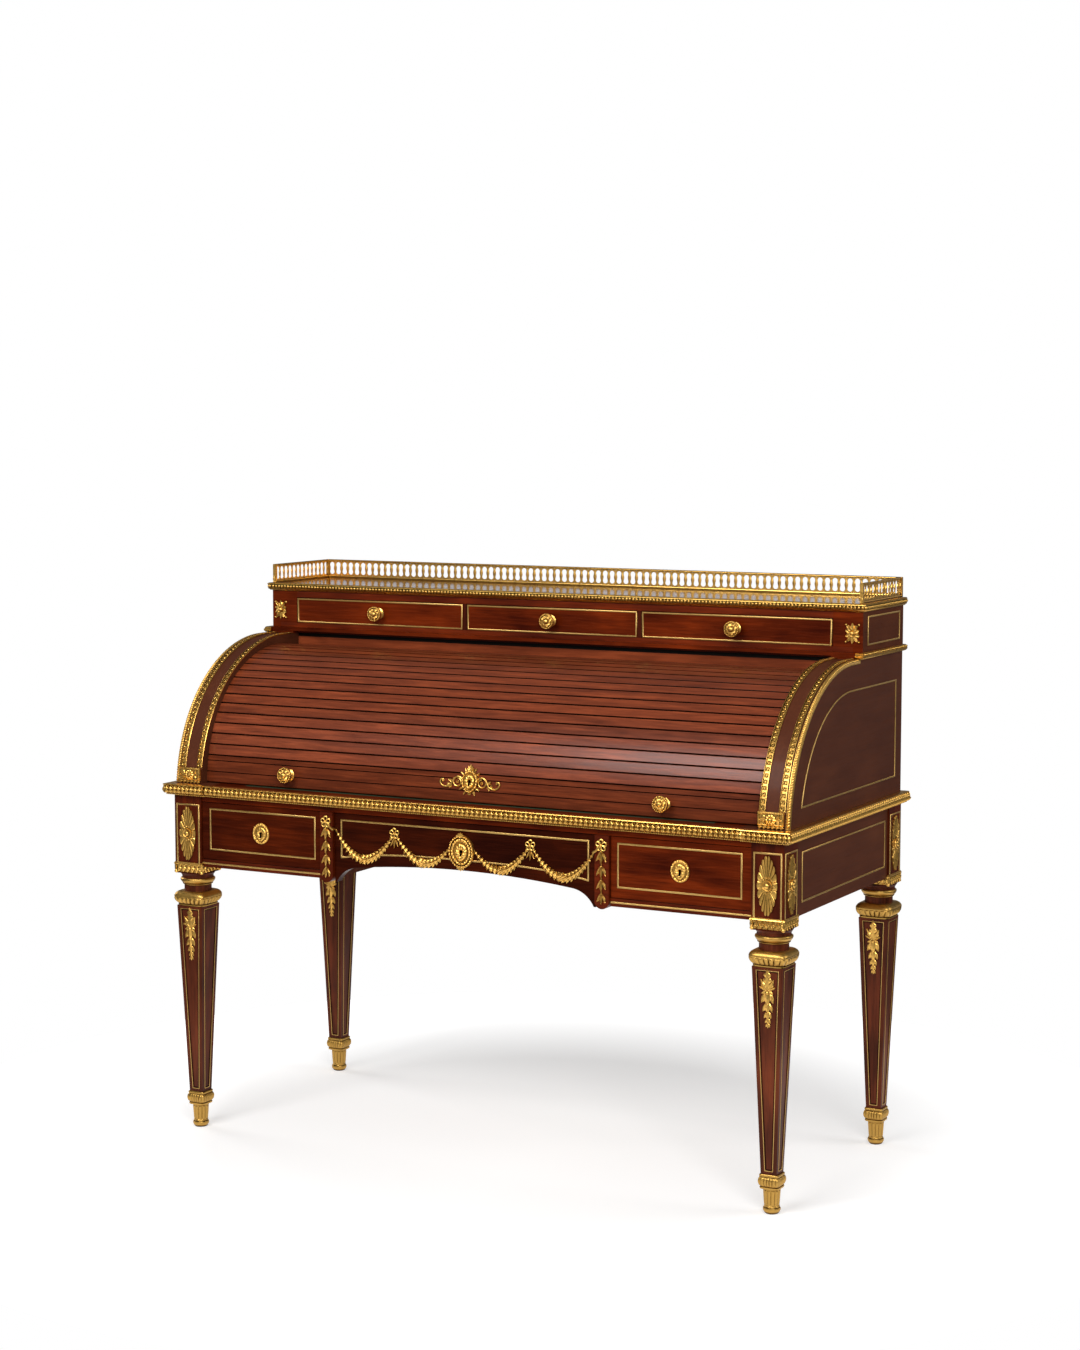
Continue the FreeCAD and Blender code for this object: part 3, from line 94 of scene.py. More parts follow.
TOP_UNDER, TOP_Z = span("top_board")[0][2], span("top_board")[1][2]
GALLERY_TOP = span("gallery_back")[1][2]
CASE_BACK = span("upper_ends")[1][1]
ROLL_TURN = next(j for j in frame["joints"] if j["name"] == "roll_turn")
ROLL_Y, ROLL_Z = (np.array(ROLL_TURN["pos_m"]) / MM)[1:]
ROLL_R = span("roll_slats")[1][2] - ROLL_Z

# Places of mounts and lines, measured on the desk
KEY_Z = 680.0
SIDE_KEY_X = (span("frieze_drawer_right")[0][0] + span("frieze_drawer_right")[1][0]) / 2
STILE_X = 330.0
SLAT_COUNT, SLAT_FIRST, SLAT_LAST = 19, math.radians(12.4), math.radians(106.0)
CANVAS_OUT, CANVAS_GAP, CANVAS_T = ROLL_R - 11.0, 0.2, 1.2


# User settings

def length(name, value, text):
    """A size property, given in millimetres."""
    return bpy.props.FloatProperty(name=name, description=text, default=value * MM, unit="LENGTH")


def tint(name, value, text):
    """A colour property."""
    return bpy.props.FloatVectorProperty(
        name=name, description=text, default=value, size=3, min=0.0, max=1.0, subtype="COLOR"
    )


def point(name, value, text):
    """A place in the room."""
    return bpy.props.FloatVectorProperty(
        name=name, description=text, default=value, size=3, subtype="TRANSLATION", unit="LENGTH"
    )


class DeskFinishes(bpy.types.PropertyGroup):
    """Colours of the desk's finishes."""
    wood_light: tint("Mahogany light", (0.220, 0.027, 0.0030), "Pale fibres of the polished fronts")
    wood_dark: tint("Mahogany dark", (0.042, 0.0038, 0.0006), "Dark figure of the polished fronts")
    slat_light: tint("Slat light", (0.320, 0.064, 0.019), "Pale fibres of the roll's slats")
    slat_dark: tint("Slat dark", (0.104, 0.019, 0.006), "Dark figure of the roll's slats")
    leg_light: tint("Leg light", (0.170, 0.034, 0.0105), "Pale fibres of the legs")
    leg_dark: tint("Leg dark", (0.026, 0.0048, 0.0015), "Dark figure of the legs")
    flank_light: tint("Flank light", (0.118, 0.033, 0.013), "Pale fibres of the duller sides")
    flank_dark: tint("Flank dark", (0.074, 0.019, 0.008), "Dark figure of the duller sides")
    oak_light: tint("Oak light", (0.450, 0.245, 0.098), "Pale fibres of the drawer linings")
    oak_dark: tint("Oak dark", (0.255, 0.125, 0.046), "Dark fibres of the drawer linings")
    gilt: tint("Gilt", (0.880, 0.510, 0.120), "Raised parts of the gilt mounts")
    # Gilt recess: painted shade in the recesses of the mounts, over their toned ground
    gilt_recess_shade: tint("Gilt recess", (0.085, 0.036, 0.006), "Toned ground in the recesses of the mounts")
    brass: tint("Brass", (0.700, 0.440, 0.140), "Narrow brass lines")
    # Keyhole: near-black of painted shadow, in the keyholes and along the top of the header
    keyhole: tint("Keyhole", (0.004, 0.003, 0.002), "Dark iron behind the keyholes")
    leather: tint("Leather", (0.030, 0.058, 0.030), "Writing leather")
    canvas: tint("Canvas", (0.330, 0.260, 0.170), "Linen backing of the slats")


class DeskMounts(bpy.types.PropertyGroup):
    """Sizes of the mounts and lines."""
    line_width: length("Line width", 3.8, "Width of a brass line")
    line_rise: length("Line rise", 1.5, "How far a brass line stands proud")
    bead: length("Bead", 3.6, "Diameter of the small drops under the table moulding")
    bead_pitch: length("Bead pitch", 4.8, "Distance from drop to drop")
    leaf_pitch: length("Leaf pitch", 11.5, "Distance between leaf tips of the table moulding")
    baluster_pitch: length("Baluster pitch", 17.5, "Distance between the gallery's balusters")
    laurel_pitch: length("Laurel pitch", 8.8, "Distance between sprigs along a swag")


class DeskStage(bpy.types.PropertyGroup):
    """Camera and floor."""
    camera_place: point("Camera place", (2.7311, -5.0771, 1.5962), "Where the camera stands")
    camera_target: point("Camera target", (-0.0091, 0.0518, 1.0175), "Point in the middle of the picture")
    camera_lens: bpy.props.FloatProperty(
        name="Lens", description="Focal length", default=71.06, unit="CAMERA",
    )
    floor_tone: tint("Floor", (0.70, 0.70, 0.70), "Pale studio floor")
    floor_glow: bpy.props.FloatProperty(
        name="Floor glow", description="Light that the floor gives of itself under the desk",
        default=0.42, min=0.0,
    )


def finish(name):
    """A colour of the finishes with full opacity."""
    return (*getattr(bpy.context.scene.desk_finishes, name), 1.0)


def size_of(name):
    """A size of the mounts in millimetres."""
    return getattr(bpy.context.scene.desk_mounts, name) / MM


# Parts of a casting

class Casting:
    """Points and faces of one piece in millimetres, gathered part by part."""

    def __init__(self):
        self.points = np.zeros((0, 3))
        self.faces = []

    def add(self, part, where=None):
        """Joins a part, set in place by a matrix."""
        points, faces = (part.points, part.faces) if isinstance(part, Casting) else part
        if where is not None:
            points = points @ where[:3, :3].T + where[:3, 3]
        start = len(self.points)
        self.points = np.vstack([self.points, points])
        self.faces += [tuple(start + i for i in face) for face in faces]
        return self

    def mirrored(self, *signs):
        """Points and faces of the mirror image: a sign of -1 turns its axis round."""
        return self.points * signs, [face[::-1] for face in self.faces]

    def paired(self):
        """The casting with its twin on the left."""
        return Casting().add(self).add(self.mirrored(-1, 1, 1))


def place(x=0.0, y=0.0, z=0.0, out=UP, up=(0, 1, 0), spin=0.0, size=1.0):
    """Matrix that sets a part made along +Z, its top along +Y, at a point so that it faces out."""
    face = np.array(out, float) / np.linalg.norm(out)
    top = np.array(up, float) - face * np.dot(up, face)
    top /= np.linalg.norm(top)
    side = np.cross(top, face)
    c, s = math.cos(math.radians(spin)), math.sin(math.radians(spin))
    made = np.eye(4)
    made[:3, :3] = size * np.stack([c * side + s * top, c * top - s * side, face], 1)
    made[:3, 3] = x, y, z
    return made


def in_front(x, y, z):
    """Matrix that sets a part upright at a point, facing the front."""
    return place(x, y, z, FORWARD, UP)


def with_twins(places):
    """Places together with their twins on the left."""
    flip = np.diag([-1.0, 1.0, 1.0, 1.0])
    return places + [flip @ spot @ flip for spot in places]


def spaced(start, end, pitch):
    """Evenly spread places between two ends, about a pitch apart."""
    count = max(1, round((end - start) / pitch))
    step = (end - start) / count
    return [start + (n + 0.5) * step for n in range(count)]


def centred(count, step):
    """A row of places about zero, a step apart."""
    return [(n - (count - 1) / 2) * step for n in range(count)]


def around(count, reach, z):
    """Places round a ring, the top of each pointing out from the middle."""
    return [place(reach * math.cos(turn), reach * math.sin(turn), z, spin=math.degrees(turn) - 90)
            for turn in turns(count)]


def travel(path):
    """Way covered along a row of points, from 0 at the first."""
    return np.concatenate([[0], np.cumsum(np.linalg.norm(np.diff(path, axis=0), axis=1))])


def skin(loops, ring=False):
    """A closed surface through loops of equal count, joined to a ring or capped at both ends."""
    loops = np.asarray(loops, float)
    rows, count = loops.shape[:2]
    faces = []
    for row in range(rows if ring else rows - 1):
        a, b = row * count, (row + 1) % rows * count
        for col in range(count):
            nxt = (col + 1) % count
            faces.append((a + col, a + nxt, b + nxt, b + col))
    if not ring:
        faces.append(tuple(reversed(range(count))))
        faces.append(tuple(range((rows - 1) * count, rows * count)))
    return loops.reshape(-1, 3), faces


def turns(count):
    """Angles round a full turn."""
    return np.linspace(0, 2 * np.pi, count, endpoint=False)


def polar(radius, angles):
    """Flat points at radii and angles."""
    return np.column_stack([radius * np.cos(angles), radius * np.sin(angles)])


def level(flat, z):
    """A flat loop of (x, y) raised to a height or to a row of heights."""
    return np.column_stack([flat, np.broadcast_to(z, len(flat))])


def lobed(angles, count, sharp=1.0):
    """A wave with a number of rounded lobes in a turn: 1 on a lobe, 0 between two."""
    return np.abs(np.cos(count * angles / 2)) ** sharp


def squared(side, sharp, count, relief):
    """A flat loop between a circle (sharp 2) and a square, cut back by a relief."""
    a = turns(count)
    return polar(side / 2 * rounded(a, sharp) - relief, a)


def rounded(angles, sharp):
    """Reach of a rounded square at each angle, 1 at the middle of its sides: a circle at sharp 2."""
    return (np.abs(np.cos(angles)) ** sharp + np.abs(np.sin(angles)) ** sharp) ** (-1 / sharp)


def oval(width, height, count):
    """A flat oval loop."""
    return polar(1.0, turns(count)) * (width / 2, height / 2)


def boxed(x0, x1, y0, y1):
    """Corners of a flat rectangle."""
    return [(x0, y0), (x1, y0), (x1, y1), (x0, y1)]


def turned(profile, count):
    """A turned form from (radius, z) points."""
    return skin([level(polar(radius, turns(count)), z) for radius, z in profile])


def bead(radius):
    """A small round drop on a flat ground."""
    profile = ((1.0, -0.3), (1.0, 0.2), (0.75, 0.7), (0.25, 1.0))
    return turned([(radius * r, radius * z) for r, z in profile], 8)


# How far an oval plate goes into the ground behind it
PLATE_BACK = 1.0


def plate(width, height, relief, edge=1.0, rings=9, count=72, hole=None):
    """An oval casting along +Z. Relief gives its height from the rim (0) to the middle (1) at each angle."""
    a = turns(count)
    rim = oval(width, height, count) * np.reshape(edge, (-1, 1))
    inner = 0.03 * rim if hole is None else hole
    loops = [level(rim, -PLATE_BACK)]
    for share in np.linspace(0, 1, rings):
        loops.append(level(rim * (1 - share) + inner * share, relief(share, a)))
    if hole is None:
        return skin(loops)
    return skin(loops + [level(inner, -PLATE_BACK)], ring=True)


def key_slot(count):
    """Flat loop of a keyhole: round above, a slot below."""
    drop, radius, half = 9.0, 3.3, 2.1
    a = turns(count)
    down = np.minimum(half / np.maximum(np.abs(np.cos(a)), TINY), drop / np.maximum(-np.sin(a), TINY))
    return polar(np.where(np.sin(a) < 0, np.maximum(radius, down), radius), a)


# Width of a leaf's outline where it is widest, before it is brought to the width asked for
LEAF_WIDEST = 1.32


def leaf(long, wide, rise, curl=0.0, lobes=0, rib=-0.35, rows=8, cols=4, back=0.6):
    """A cast leaf on XY from the origin along +Y: crowned, ribbed, its tip curled up."""
    t = np.linspace(0, 1, rows)
    u = np.linspace(-1, 1, cols + 1)
    half = wide / LEAF_WIDEST * (0.45 + 0.75 * t) * (1 - 0.97 * t ** 2.2)
    if lobes:
        half = half * (0.77 + 0.23 * np.cos(2 * np.pi * lobes * t))
    crown = rise * (1 - 0.5 * t ** 2)
    lift = curl * t ** 2.5
    vein = 1 + rib * np.exp(-(u / 0.2) ** 2)
    loops = []
    for n in range(rows):
        y = t[n] * long
        front = [(w * half[n], y, lift[n] + crown[n] * (0.3 + 0.7 * (1 - w * w)) * v)
                 for w, v in zip(u, vein)]
        low = lift[n] - back
        loops.append(front + [(0.9 * half[n], y, low), (-0.9 * half[n], y, low)])
    return skin(loops)


def normals(steps):
    """Unit ways to the left of flat steps."""
    steps = steps / np.linalg.norm(steps, axis=1)[:, None]
    return np.column_stack([-steps[:, 1], steps[:, 0]])


def ribbon(path, half, rise, back=1.0):
    """A half-round band along a flat path on XY, rising to +Z."""
    path = np.asarray(path, float)
    side = normals(np.gradient(path, axis=0))
    half = np.broadcast_to(half, len(path))
    rise = np.broadcast_to(rise, len(path))
    section = ((1, 0.35), (0.65, 0.85), (0, 1), (-0.65, 0.85), (-1, 0.35))
    loops = []
    for p, n, w, h in zip(path, side, half, rise):
        loop = [(*(p + n * w * u), h * v) for u, v in section]
        loops.append(loop + [(*(p - n * w), -back), (*(p + n * w), -back)])
    return skin(loops)


def smooth_path(points, count=28):
    """A flat curve through a few points."""
    points = np.asarray(points, float)
    knots = np.arange(len(points))
    padded = np.vstack([2 * points[0] - points[1], points, 2 * points[-1] - points[-2]])
    made = []
    for t in np.linspace(0, knots[-1], count):
        n = min(int(t), knots[-1] - 1)
        f = t - n
        p0, p1, p2, p3 = padded[n:n + 4]
        made.append(0.5 * (2 * p1 + (p2 - p0) * f + (2 * p0 - 5 * p1 + 4 * p2 - p3) * f ** 2
                           + (3 * p1 - p0 - 3 * p2 + p3) * f ** 3))
    return np.array(made)


def arc(cx, cy, radius, start, end, count):
    """Points of a flat arc, in degrees."""
    return polar(radius, np.radians(np.linspace(start, end, count))) + (cx, cy)


def line_loop(corners, width, rise, closed=True):
    """A brass line on XY along a row of corners, mitred, slightly rounded on top."""
    corners = np.asarray(corners, float)
    after = normals(np.roll(corners, -1, axis=0) - corners)
    if not closed:
        after[-1] = after[-2]
    before = np.roll(after, 1, axis=0)
    if not closed:
        before[0] = after[0]
    mitre = (before + after) / (1 + np.sum(before * after, axis=1))[:, None]
    half = width / 2
    flank = [(half, -0.5), (half, 0.3 * rise), (0.8 * half, 0.72 * rise), (0.4 * half, 0.95 * rise)]
    loops = [[(*(p + way * d), z) for d, z in symmetric(flank)] for p, way in zip(corners, mitre)]
    return skin(loops, ring=closed)


def symmetric(half, *middle):
    """A section completed by its mirror image, from the points of one half and any in the middle."""
    return [*half, *middle, *((-d, z) for d, z in reversed(half))]


def run(section, path):
    """A moulding swept along a level path, mitred; section is (offset to the right of travel, height)."""
    path = np.asarray(path, float)
    right = -normals(np.diff(path, axis=0))
    loops = []
    for n, spot in enumerate(path):
        before, after = right[max(n - 1, 0)], right[min(n, len(right) - 1)]
        mitre = (before + after) / (1 + before @ after)
        loops.append([(*(spot + mitre * d), z) for d, z in section])
    return skin(loops)


def bent(part, profile):
    """Lays a part made along +Y on a profile of (out, height): X stays, Z becomes the way off the profile."""
    profile = np.asarray(profile, float)
    reach = travel(profile)
    slope = np.gradient(profile, reach, axis=0)
    x, along, off = part.points.T
    d, z, run_d, run_z = (np.interp(along, reach, column) for column in (*profile.T, *slope.T))
    scale = np.hypot(run_d, run_z)
    return np.column_stack([x, d - run_z / scale * off, z + run_d / scale * off]), part.faces


def slab(x0, x1, y0, y1, z0, z1, ease=0.8):
    """A board or block with eased edges."""
    steps = [(ease, z0), (0.0, z0 + ease), (0.0, z1 - ease), (ease, z1)]
    return skin([level(boxed(x0 + e, x1 - e, y0 + e, y1 - e), z) for e, z in steps])


# Ornaments

def rosette(width, rise, petals):
    """A round flower: notched petals, a ring and an eye."""
    petal = lobed(turns(72), petals, 0.6)

    def relief(share, angle):
        swell = math.sin(math.pi * min(1.0, 0.12 + share))
        return rise * (0.22 + 0.6 * swell * (0.5 + 0.5 * petal))

    made = Casting().add(plate(width, width, relief, edge=0.88 + 0.12 * petal))
    eye = 0.17 * width
    profile = ((1.5, 0.0), (1.5, 0.55), (1.2, 0.75), (1.0, 0.6), (0.9, 0.8), (0.3, 1.0))
    return made.add(turned([(eye * r, rise * z) for r, z in profile], 24))


def husk(long, wide, rise):
    """A bell husk that opens along +Y: two side leaves behind a middle one."""
    made = Casting()
    for lean in (-1, 1):
        made.add(leaf(0.92 * long, 0.44 * wide, 0.75 * rise, 0.3 * rise),
                 place(lean * 0.1 * wide, spin=-27 * lean))
    made.add(leaf(long, 0.46 * wide, 0.8 * rise, 0.35 * rise, rib=0.25), place(z=0.35 * rise))
    made.add(bead(0.17 * wide), place(z=0.4 * rise))
    return made


def husk_chain(top, sizes, wide, rise, step):
    """Husks hanging one from another down -Y, from the height of the first, a share of their length apart."""
    made = Casting()
    y = top
    for long in sizes:
        share = long / max(sizes)
        made.add(husk(long, wide * share, rise * share), place(y=y, spin=180))
        y -= step * long
    return made


def bow(size):
    """A ribbon rosette of five loops round a knot."""
    t = np.linspace(0.04, 0.96, 14)
    made = Casting()
    for lean in (90, 20, 160, -52, 232):
        loop = np.column_stack([size * np.sin(np.pi * t), 0.34 * size * np.sin(2 * np.pi * t)])
        made.add(ribbon(loop, 0.15 * size, 0.32 * size), place(spin=lean))
    made.add(bead(0.3 * size), place(z=0.22 * size))
    return made


def tassel(long, wide):
    """A bead with a drop below it, hanging from the origin."""
    made = Casting().add(bead(0.32 * wide), place(y=-0.12 * long))
    made.add(husk(0.8 * long, wide, 0.4 * wide), place(y=-0.2 * long, spin=180))
    return made


def leaf_frill(count, step, long, wide, rise):
    """A row of leaves along X that hang down -Y from the origin."""
    made = Casting()
    for x in centred(count, step):
        made.add(leaf(long, wide, rise, 0.4 * rise, lobes=2), place(x, spin=180))
    return made


# Geometry Nodes trees

def feed(tree, node, inputs):
    """Links each input that is given a socket, and sets each that is given a value."""
    for key, value in inputs.items():
        if isinstance(value, bpy.types.NodeSocket):
            tree.links.new(value, node.inputs[key])
        else:
            node.inputs[key].default_value = value


def tree_node(tree, kind, inputs=None, **settings):
    """Adds a node with its settings and inputs."""
    made = tree.nodes.new(kind)
    for key, value in settings.items():
        setattr(made, key, value)
    feed(tree, made, inputs or {})
    return made


def math_node(tree, operation, *values):
    """A sum worked out in the tree."""
    return tree_node(tree, "ShaderNodeMath", dict(enumerate(values)), operation=operation).outputs[0]


def new_tree(name, sockets):
    """An empty tree with a geometry input and output and the named inputs."""
    tree = bpy.data.node_groups.new(name, "GeometryNodeTree")
    tree.interface.new_socket("Geometry", in_out="INPUT", socket_type="NodeSocketGeometry")
    for label, kind in sockets:
        tree.interface.new_socket(label, in_out="INPUT", socket_type=kind)
    tree.interface.new_socket("Geometry", in_out="OUTPUT", socket_type="NodeSocketGeometry")
    return tree, tree.nodes.new("NodeGroupInput").outputs


def close_tree(tree, geometry, paint):
    """Makes the copies real, smooth and painted."""
    real = tree_node(tree, "GeometryNodeRealizeInstances", {"Geometry": geometry})
    smooth = tree_node(tree, "GeometryNodeSetShadeSmooth", {"Geometry": real.outputs[0]})
    painted = tree_node(tree, "GeometryNodeSetMaterial", {"Geometry": smooth.outputs[0], "Material": paint})
    tree_node(tree, "NodeGroupOutput", {"Geometry": painted.outputs[0]})
    return tree


def ornament_tree(name):
    """Sets a copy of one ornament on every point, turned and sized by the point's own values."""
    tree, given = new_tree(name, [
        ("Ornament", "NodeSocketObject"), ("Size", "NodeSocketFloat"), ("Material", "NodeSocketMaterial")])
    shape = tree_node(tree, "GeometryNodeObjectInfo", {"Object": given["Ornament"]})
    turn = tree_node(tree, "GeometryNodeInputNamedAttribute", {"Name": "turn"}, data_type="FLOAT_VECTOR")
    share = tree_node(tree, "GeometryNodeInputNamedAttribute", {"Name": "share"}, data_type="FLOAT")
    euler = tree_node(tree, "FunctionNodeEulerToRotation", {"Euler": turn.outputs["Attribute"]})
    scale = math_node(tree, "MULTIPLY", share.outputs["Attribute"], given["Size"])
    copies = tree_node(tree, "GeometryNodeInstanceOnPoints", {
        "Points": given["Geometry"], "Instance": shape.outputs["Geometry"],
        "Rotation": euler.outputs[0], "Scale": scale})
    return close_tree(tree, copies.outputs[0], given["Material"])


def bead_tree(name):
    """Sets beads of one diameter along every line, a pitch apart."""
    tree, given = new_tree(name, [
        ("Diameter", "NodeSocketFloat"), ("Pitch", "NodeSocketFloat"), ("Material", "NodeSocketMaterial")])
    lines = tree_node(tree, "GeometryNodeMeshToCurve", {"Mesh": given["Geometry"]})
    evenly = tree_node(tree, "GeometryNodeResampleCurve", {
        "Curve": lines.outputs[0], "Length": given["Pitch"]}, mode="LENGTH")
    half = math_node(tree, "MULTIPLY", given["Diameter"], 0.5)
    ball = tree_node(tree, "GeometryNodeMeshIcoSphere", {"Radius": half, "Subdivisions": 2})
    copies = tree_node(tree, "GeometryNodeInstanceOnPoints", {
        "Points": evenly.outputs[0], "Instance": ball.outputs[0]})
    return close_tree(tree, copies.outputs[0], given["Material"])


def shared_tree(name, maker):
    """A tree, made the first time that it is asked for."""
    return bpy.data.node_groups.get(name) or maker(name)


def run_tree(carrier, tree, values):
    """Runs a tree on a carrier with values given by input name, and returns the plain mesh it makes."""
    modifier = carrier.modifiers.new(tree.name, "NODES")
    modifier.node_group = tree
    for item in tree.interface.items_tree:
        if item.item_type == "SOCKET" and item.in_out == "INPUT" and item.name in values:
            modifier[item.identifier] = values[item.name]
    carrier.update_tag()
    depsgraph = bpy.context.evaluated_depsgraph_get()
    mesh = bpy.data.meshes.new_from_object(carrier.evaluated_get(depsgraph), depsgraph=depsgraph)
    bpy.data.objects.remove(carrier)
    return mesh


# Pieces

def link(name, mesh):
    """An object at the origin that holds the mesh."""
    made = bpy.data.objects.new(name, mesh)
    bpy.context.scene.collection.objects.link(made)
    return made


# Faces that meet at more than this angle keep a sharp edge
SHARP_EDGE = math.radians(42.0)


def mesh_of(casting, name, paint=None):
    """A smooth mesh of a casting, in metres, its faces pointing outwards."""
    mesh = bpy.data.meshes.new(name)
    mesh.from_pydata((casting.points * MM).tolist(), [], casting.faces)
    edit = bmesh.new()
    edit.from_mesh(mesh)
    bmesh.ops.recalc_face_normals(edit, faces=edit.faces)
    edit.to_mesh(mesh)
    edit.free()
    mesh.shade_smooth()
    mesh.set_sharp_from_angle(angle=SHARP_EDGE)
    if paint:
        mesh.materials.append(paint)
    return mesh


def dress(piece, body, slot, *nodes):
    """Sets a finished piece on its body and hides the CAD nodes that it stands for; the slot is not used."""
    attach(piece, body)
    if nodes:
        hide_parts(*nodes)
    return piece


def gilt_piece(casting, name, body, *nodes, paint="gilt_bronze"):
    """A gilt mount."""
    return dress(link(name, mesh_of(casting, name, PAINTS[paint])), body, "gilt_bronze", *nodes)


def repeated(name, ornament, places, body, *nodes):
    """A gilt piece of one ornament copied to many places."""
    element = link(name + "_element", mesh_of(ornament, name + "_element"))
    points = bpy.data.meshes.new(name + "_points")
    spots = [Matrix(p.tolist()).decompose() for p in places]
    points.from_pydata([(spot[0] * MM)[:] for spot in spots], [], [])
    points.attributes.new("turn", "FLOAT_VECTOR", "POINT")
    points.attributes.new("share", "FLOAT", "POINT")
    for n, (_, rotation, scale) in enumerate(spots):
        points.attributes["turn"].data[n].vector = rotation.to_euler()[:]
        points.attributes["share"].data[n].value = scale[0]
    mesh = run_tree(link(name + "_points", points), shared_tree("Repeat Ornament", ornament_tree), {
        "Ornament": element, "Size": 1.0, "Material": PAINTS["gilt_bronze"]})
    bpy.data.objects.remove(element)
    mesh.name = name
    return dress(link(name, mesh), body, "gilt_bronze", *nodes)


def beaded(name, lines, diameter, pitch, body, *nodes):
    """A gilt piece of beads along lines of (x, y, z) points."""
    wires = bpy.data.meshes.new(name + "_lines")
    points, edges = [], []
    for line in lines:
        edges += [(len(points) + n, len(points) + n + 1) for n in range(len(line) - 1)]
        points += [tuple(np.array(p, float) * MM) for p in line]
    wires.from_pydata(points, edges, [])
    mesh = run_tree(link(name + "_lines", wires), shared_tree("Bead Row", bead_tree), {
        "Diameter": diameter * MM, "Pitch": pitch * MM, "Material": PAINTS["gilt_bronze"]})
    mesh.name = name
    return dress(link(name, mesh), body, "gilt_bronze", *nodes)


def both_sides(line):
    """A line of points and its twin on the left."""
    return [line, [(-x, y, z) for x, y, z in line]]


# Materials

PAINTS = {}
# Part of a noise's range in which most of its values lie
NOISE_SPAN = (0.3, 0.7)
# Range of roughness of each kind of polish
MIRROR, DRAWER_POLISH, POLISHED, ROLL_POLISH = (0.12, 0.2), (0.2, 0.32), (0.26, 0.38), (0.3, 0.4)
SATIN, DULL, WAXED, BARE = (0.34, 0.46), (0.4, 0.5), (0.42, 0.54), (0.5, 0.65)
# Strength and depth in millimetres of the relief of polished wood, and roughness of its coat
WOOD_BUMP, COAT_ROUGH = (0.12, 0.2), 0.12
# Shares of figure, fibres and clouds in a wood's grain
WOOD_GRAIN, SLAT_GRAIN = (0.3, 0.3, 0.4), (0.3, 0.55, 0.15)
# Slats and bottom rail: dark share across a slat, half a joint's angle, tone of the joints, lines of the rail
JOINT_STOPS = ((0.0, 1.0), (0.075, 1.0), (0.12, 0.0), (0.955, 0.0), (0.985, 1.0))
JOINT_HALF, JOINT_TONE = 0.0035, (0.006, 0.002, 0.0015, 1.0)
RAIL_LINES = (5.25, 10.1)
SLAT_SHINE, SLAT_COAT, RAIL_SHINE, RAIL_COAT = 0.24, 0.17, 0.1, 0.05


def new_paint(name):
    """An empty material with its shader."""
    paint = bpy.data.materials.new(name)
    paint.use_nodes = True
    PAINTS[name] = paint
    tree = paint.node_tree
    return tree, tree.nodes["Principled BSDF"]


def grey(tone):
    """A grey with full opacity."""
    return (tone, tone, tone, 1.0)


def dimmed(rgba, share):
    """A colour made darker or paler by a share."""
    return tuple(min(1.0, share * c) for c in rgba[:3]) + (1.0,)


def shaded(name, share):
    """A colour of the finishes, darker or paler by a share."""
    return dimmed(finish(name), share)


def mixed(tree, factor, first, second):
    """A colour between two, by a factor."""
    return tree_node(tree, "ShaderNodeMix", {0: factor, 6: first, 7: second}, data_type="RGBA").outputs[2]


def ramp(tree, factor, stops):
    """A colour ramp with (place, colour) stops."""
    made = tree_node(tree, "ShaderNodeValToRGB", {0: factor})
    line = made.color_ramp
    while len(line.elements) < len(stops):
        line.elements.new(0.5)
    for element, (spot, rgba) in zip(line.elements, stops):
        element.position = spot
        element.color = rgba
    return made.outputs[0]


def ranged(tree, value, low, high, start=0.0, end=1.0, clamp=True):
    """A value carried from one range to another."""
    return tree_node(tree, "ShaderNodeMapRange", {
        "Value": value, "From Min": start, "From Max": end, "To Min": low, "To Max": high,
    }, clamp=clamp).outputs[0]


def noise(tree, vector, scale, detail=3.0, distortion=0.0, rough=0.55):
    """Noise at a scale."""
    return tree_node(tree, "ShaderNodeTexNoise", {
        "Vector": vector, "Scale": scale, "Detail": detail, "Distortion": distortion, "Roughness": rough,
    }).outputs[0]


def object_place(tree):
    """The point on the piece, in the desk's own frame."""
    return tree_node(tree, "ShaderNodeTexCoord").outputs["Object"]


def axes(tree, vector):
    """The three parts of a vector."""
    return tree_node(tree, "ShaderNodeSeparateXYZ", {0: vector}).outputs


def bumped(tree, height, strength, depth):
    """A normal that follows a height, to a depth in millimetres."""
    return tree_node(tree, "ShaderNodeBump", {
        "Height": height, "Strength": strength, "Distance": depth * MM}).outputs[0]


def stretched(tree, vector, axis, along, across):
    """Coordinates drawn out along the grain."""
    scale = [across] * 3
    scale["XYZ".index(axis)] = along
    return tree_node(tree, "ShaderNodeMapping", {"Vector": vector, "Scale": scale}).outputs[0]


def grain(tree, vector, axis, dark, light, shares=WOOD_GRAIN):
    """Colour, relief and fibres of a wood along an axis: figure, fibres and clouds by shares, and pores."""
    flow = stretched(tree, vector, axis, along=1.6, across=22.0)
    figure = noise(tree, flow, scale=1.5, detail=3.0, distortion=0.8)
    fibre = noise(tree, flow, scale=7.0, detail=6.0, distortion=0.2, rough=0.65)
    broad = stretched(tree, vector, axis, along=4.5, across=10.0)
    cloud = noise(tree, broad, scale=1.3, detail=2.0, distortion=0.6)
    pores = noise(tree, stretched(tree, vector, axis, along=14.0, across=520.0), scale=1.0, detail=2.0)
    parts = [math_node(tree, "MULTIPLY", *pair) for pair in zip((figure, fibre, cloud), shares)]
    share = math_node(tree, "ADD", math_node(tree, "ADD", parts[0], parts[1]), parts[2])
    middle = [a + 0.36 * (b - a) for a, b in zip(dark, light)]
    colour = ramp(tree, share, [(0.36, dark), (0.5, middle), (0.66, light)])
    gap = ranged(tree, pores, 0.0, 1.0, start=0.60, end=0.72)
    colour = mixed(tree, math_node(tree, "MULTIPLY", gap, 0.4), colour, dimmed(dark, 0.45))
    relief = math_node(tree, "SUBTRACT", math_node(tree, "MULTIPLY", fibre, 0.25), gap)
    return colour, relief, fibre


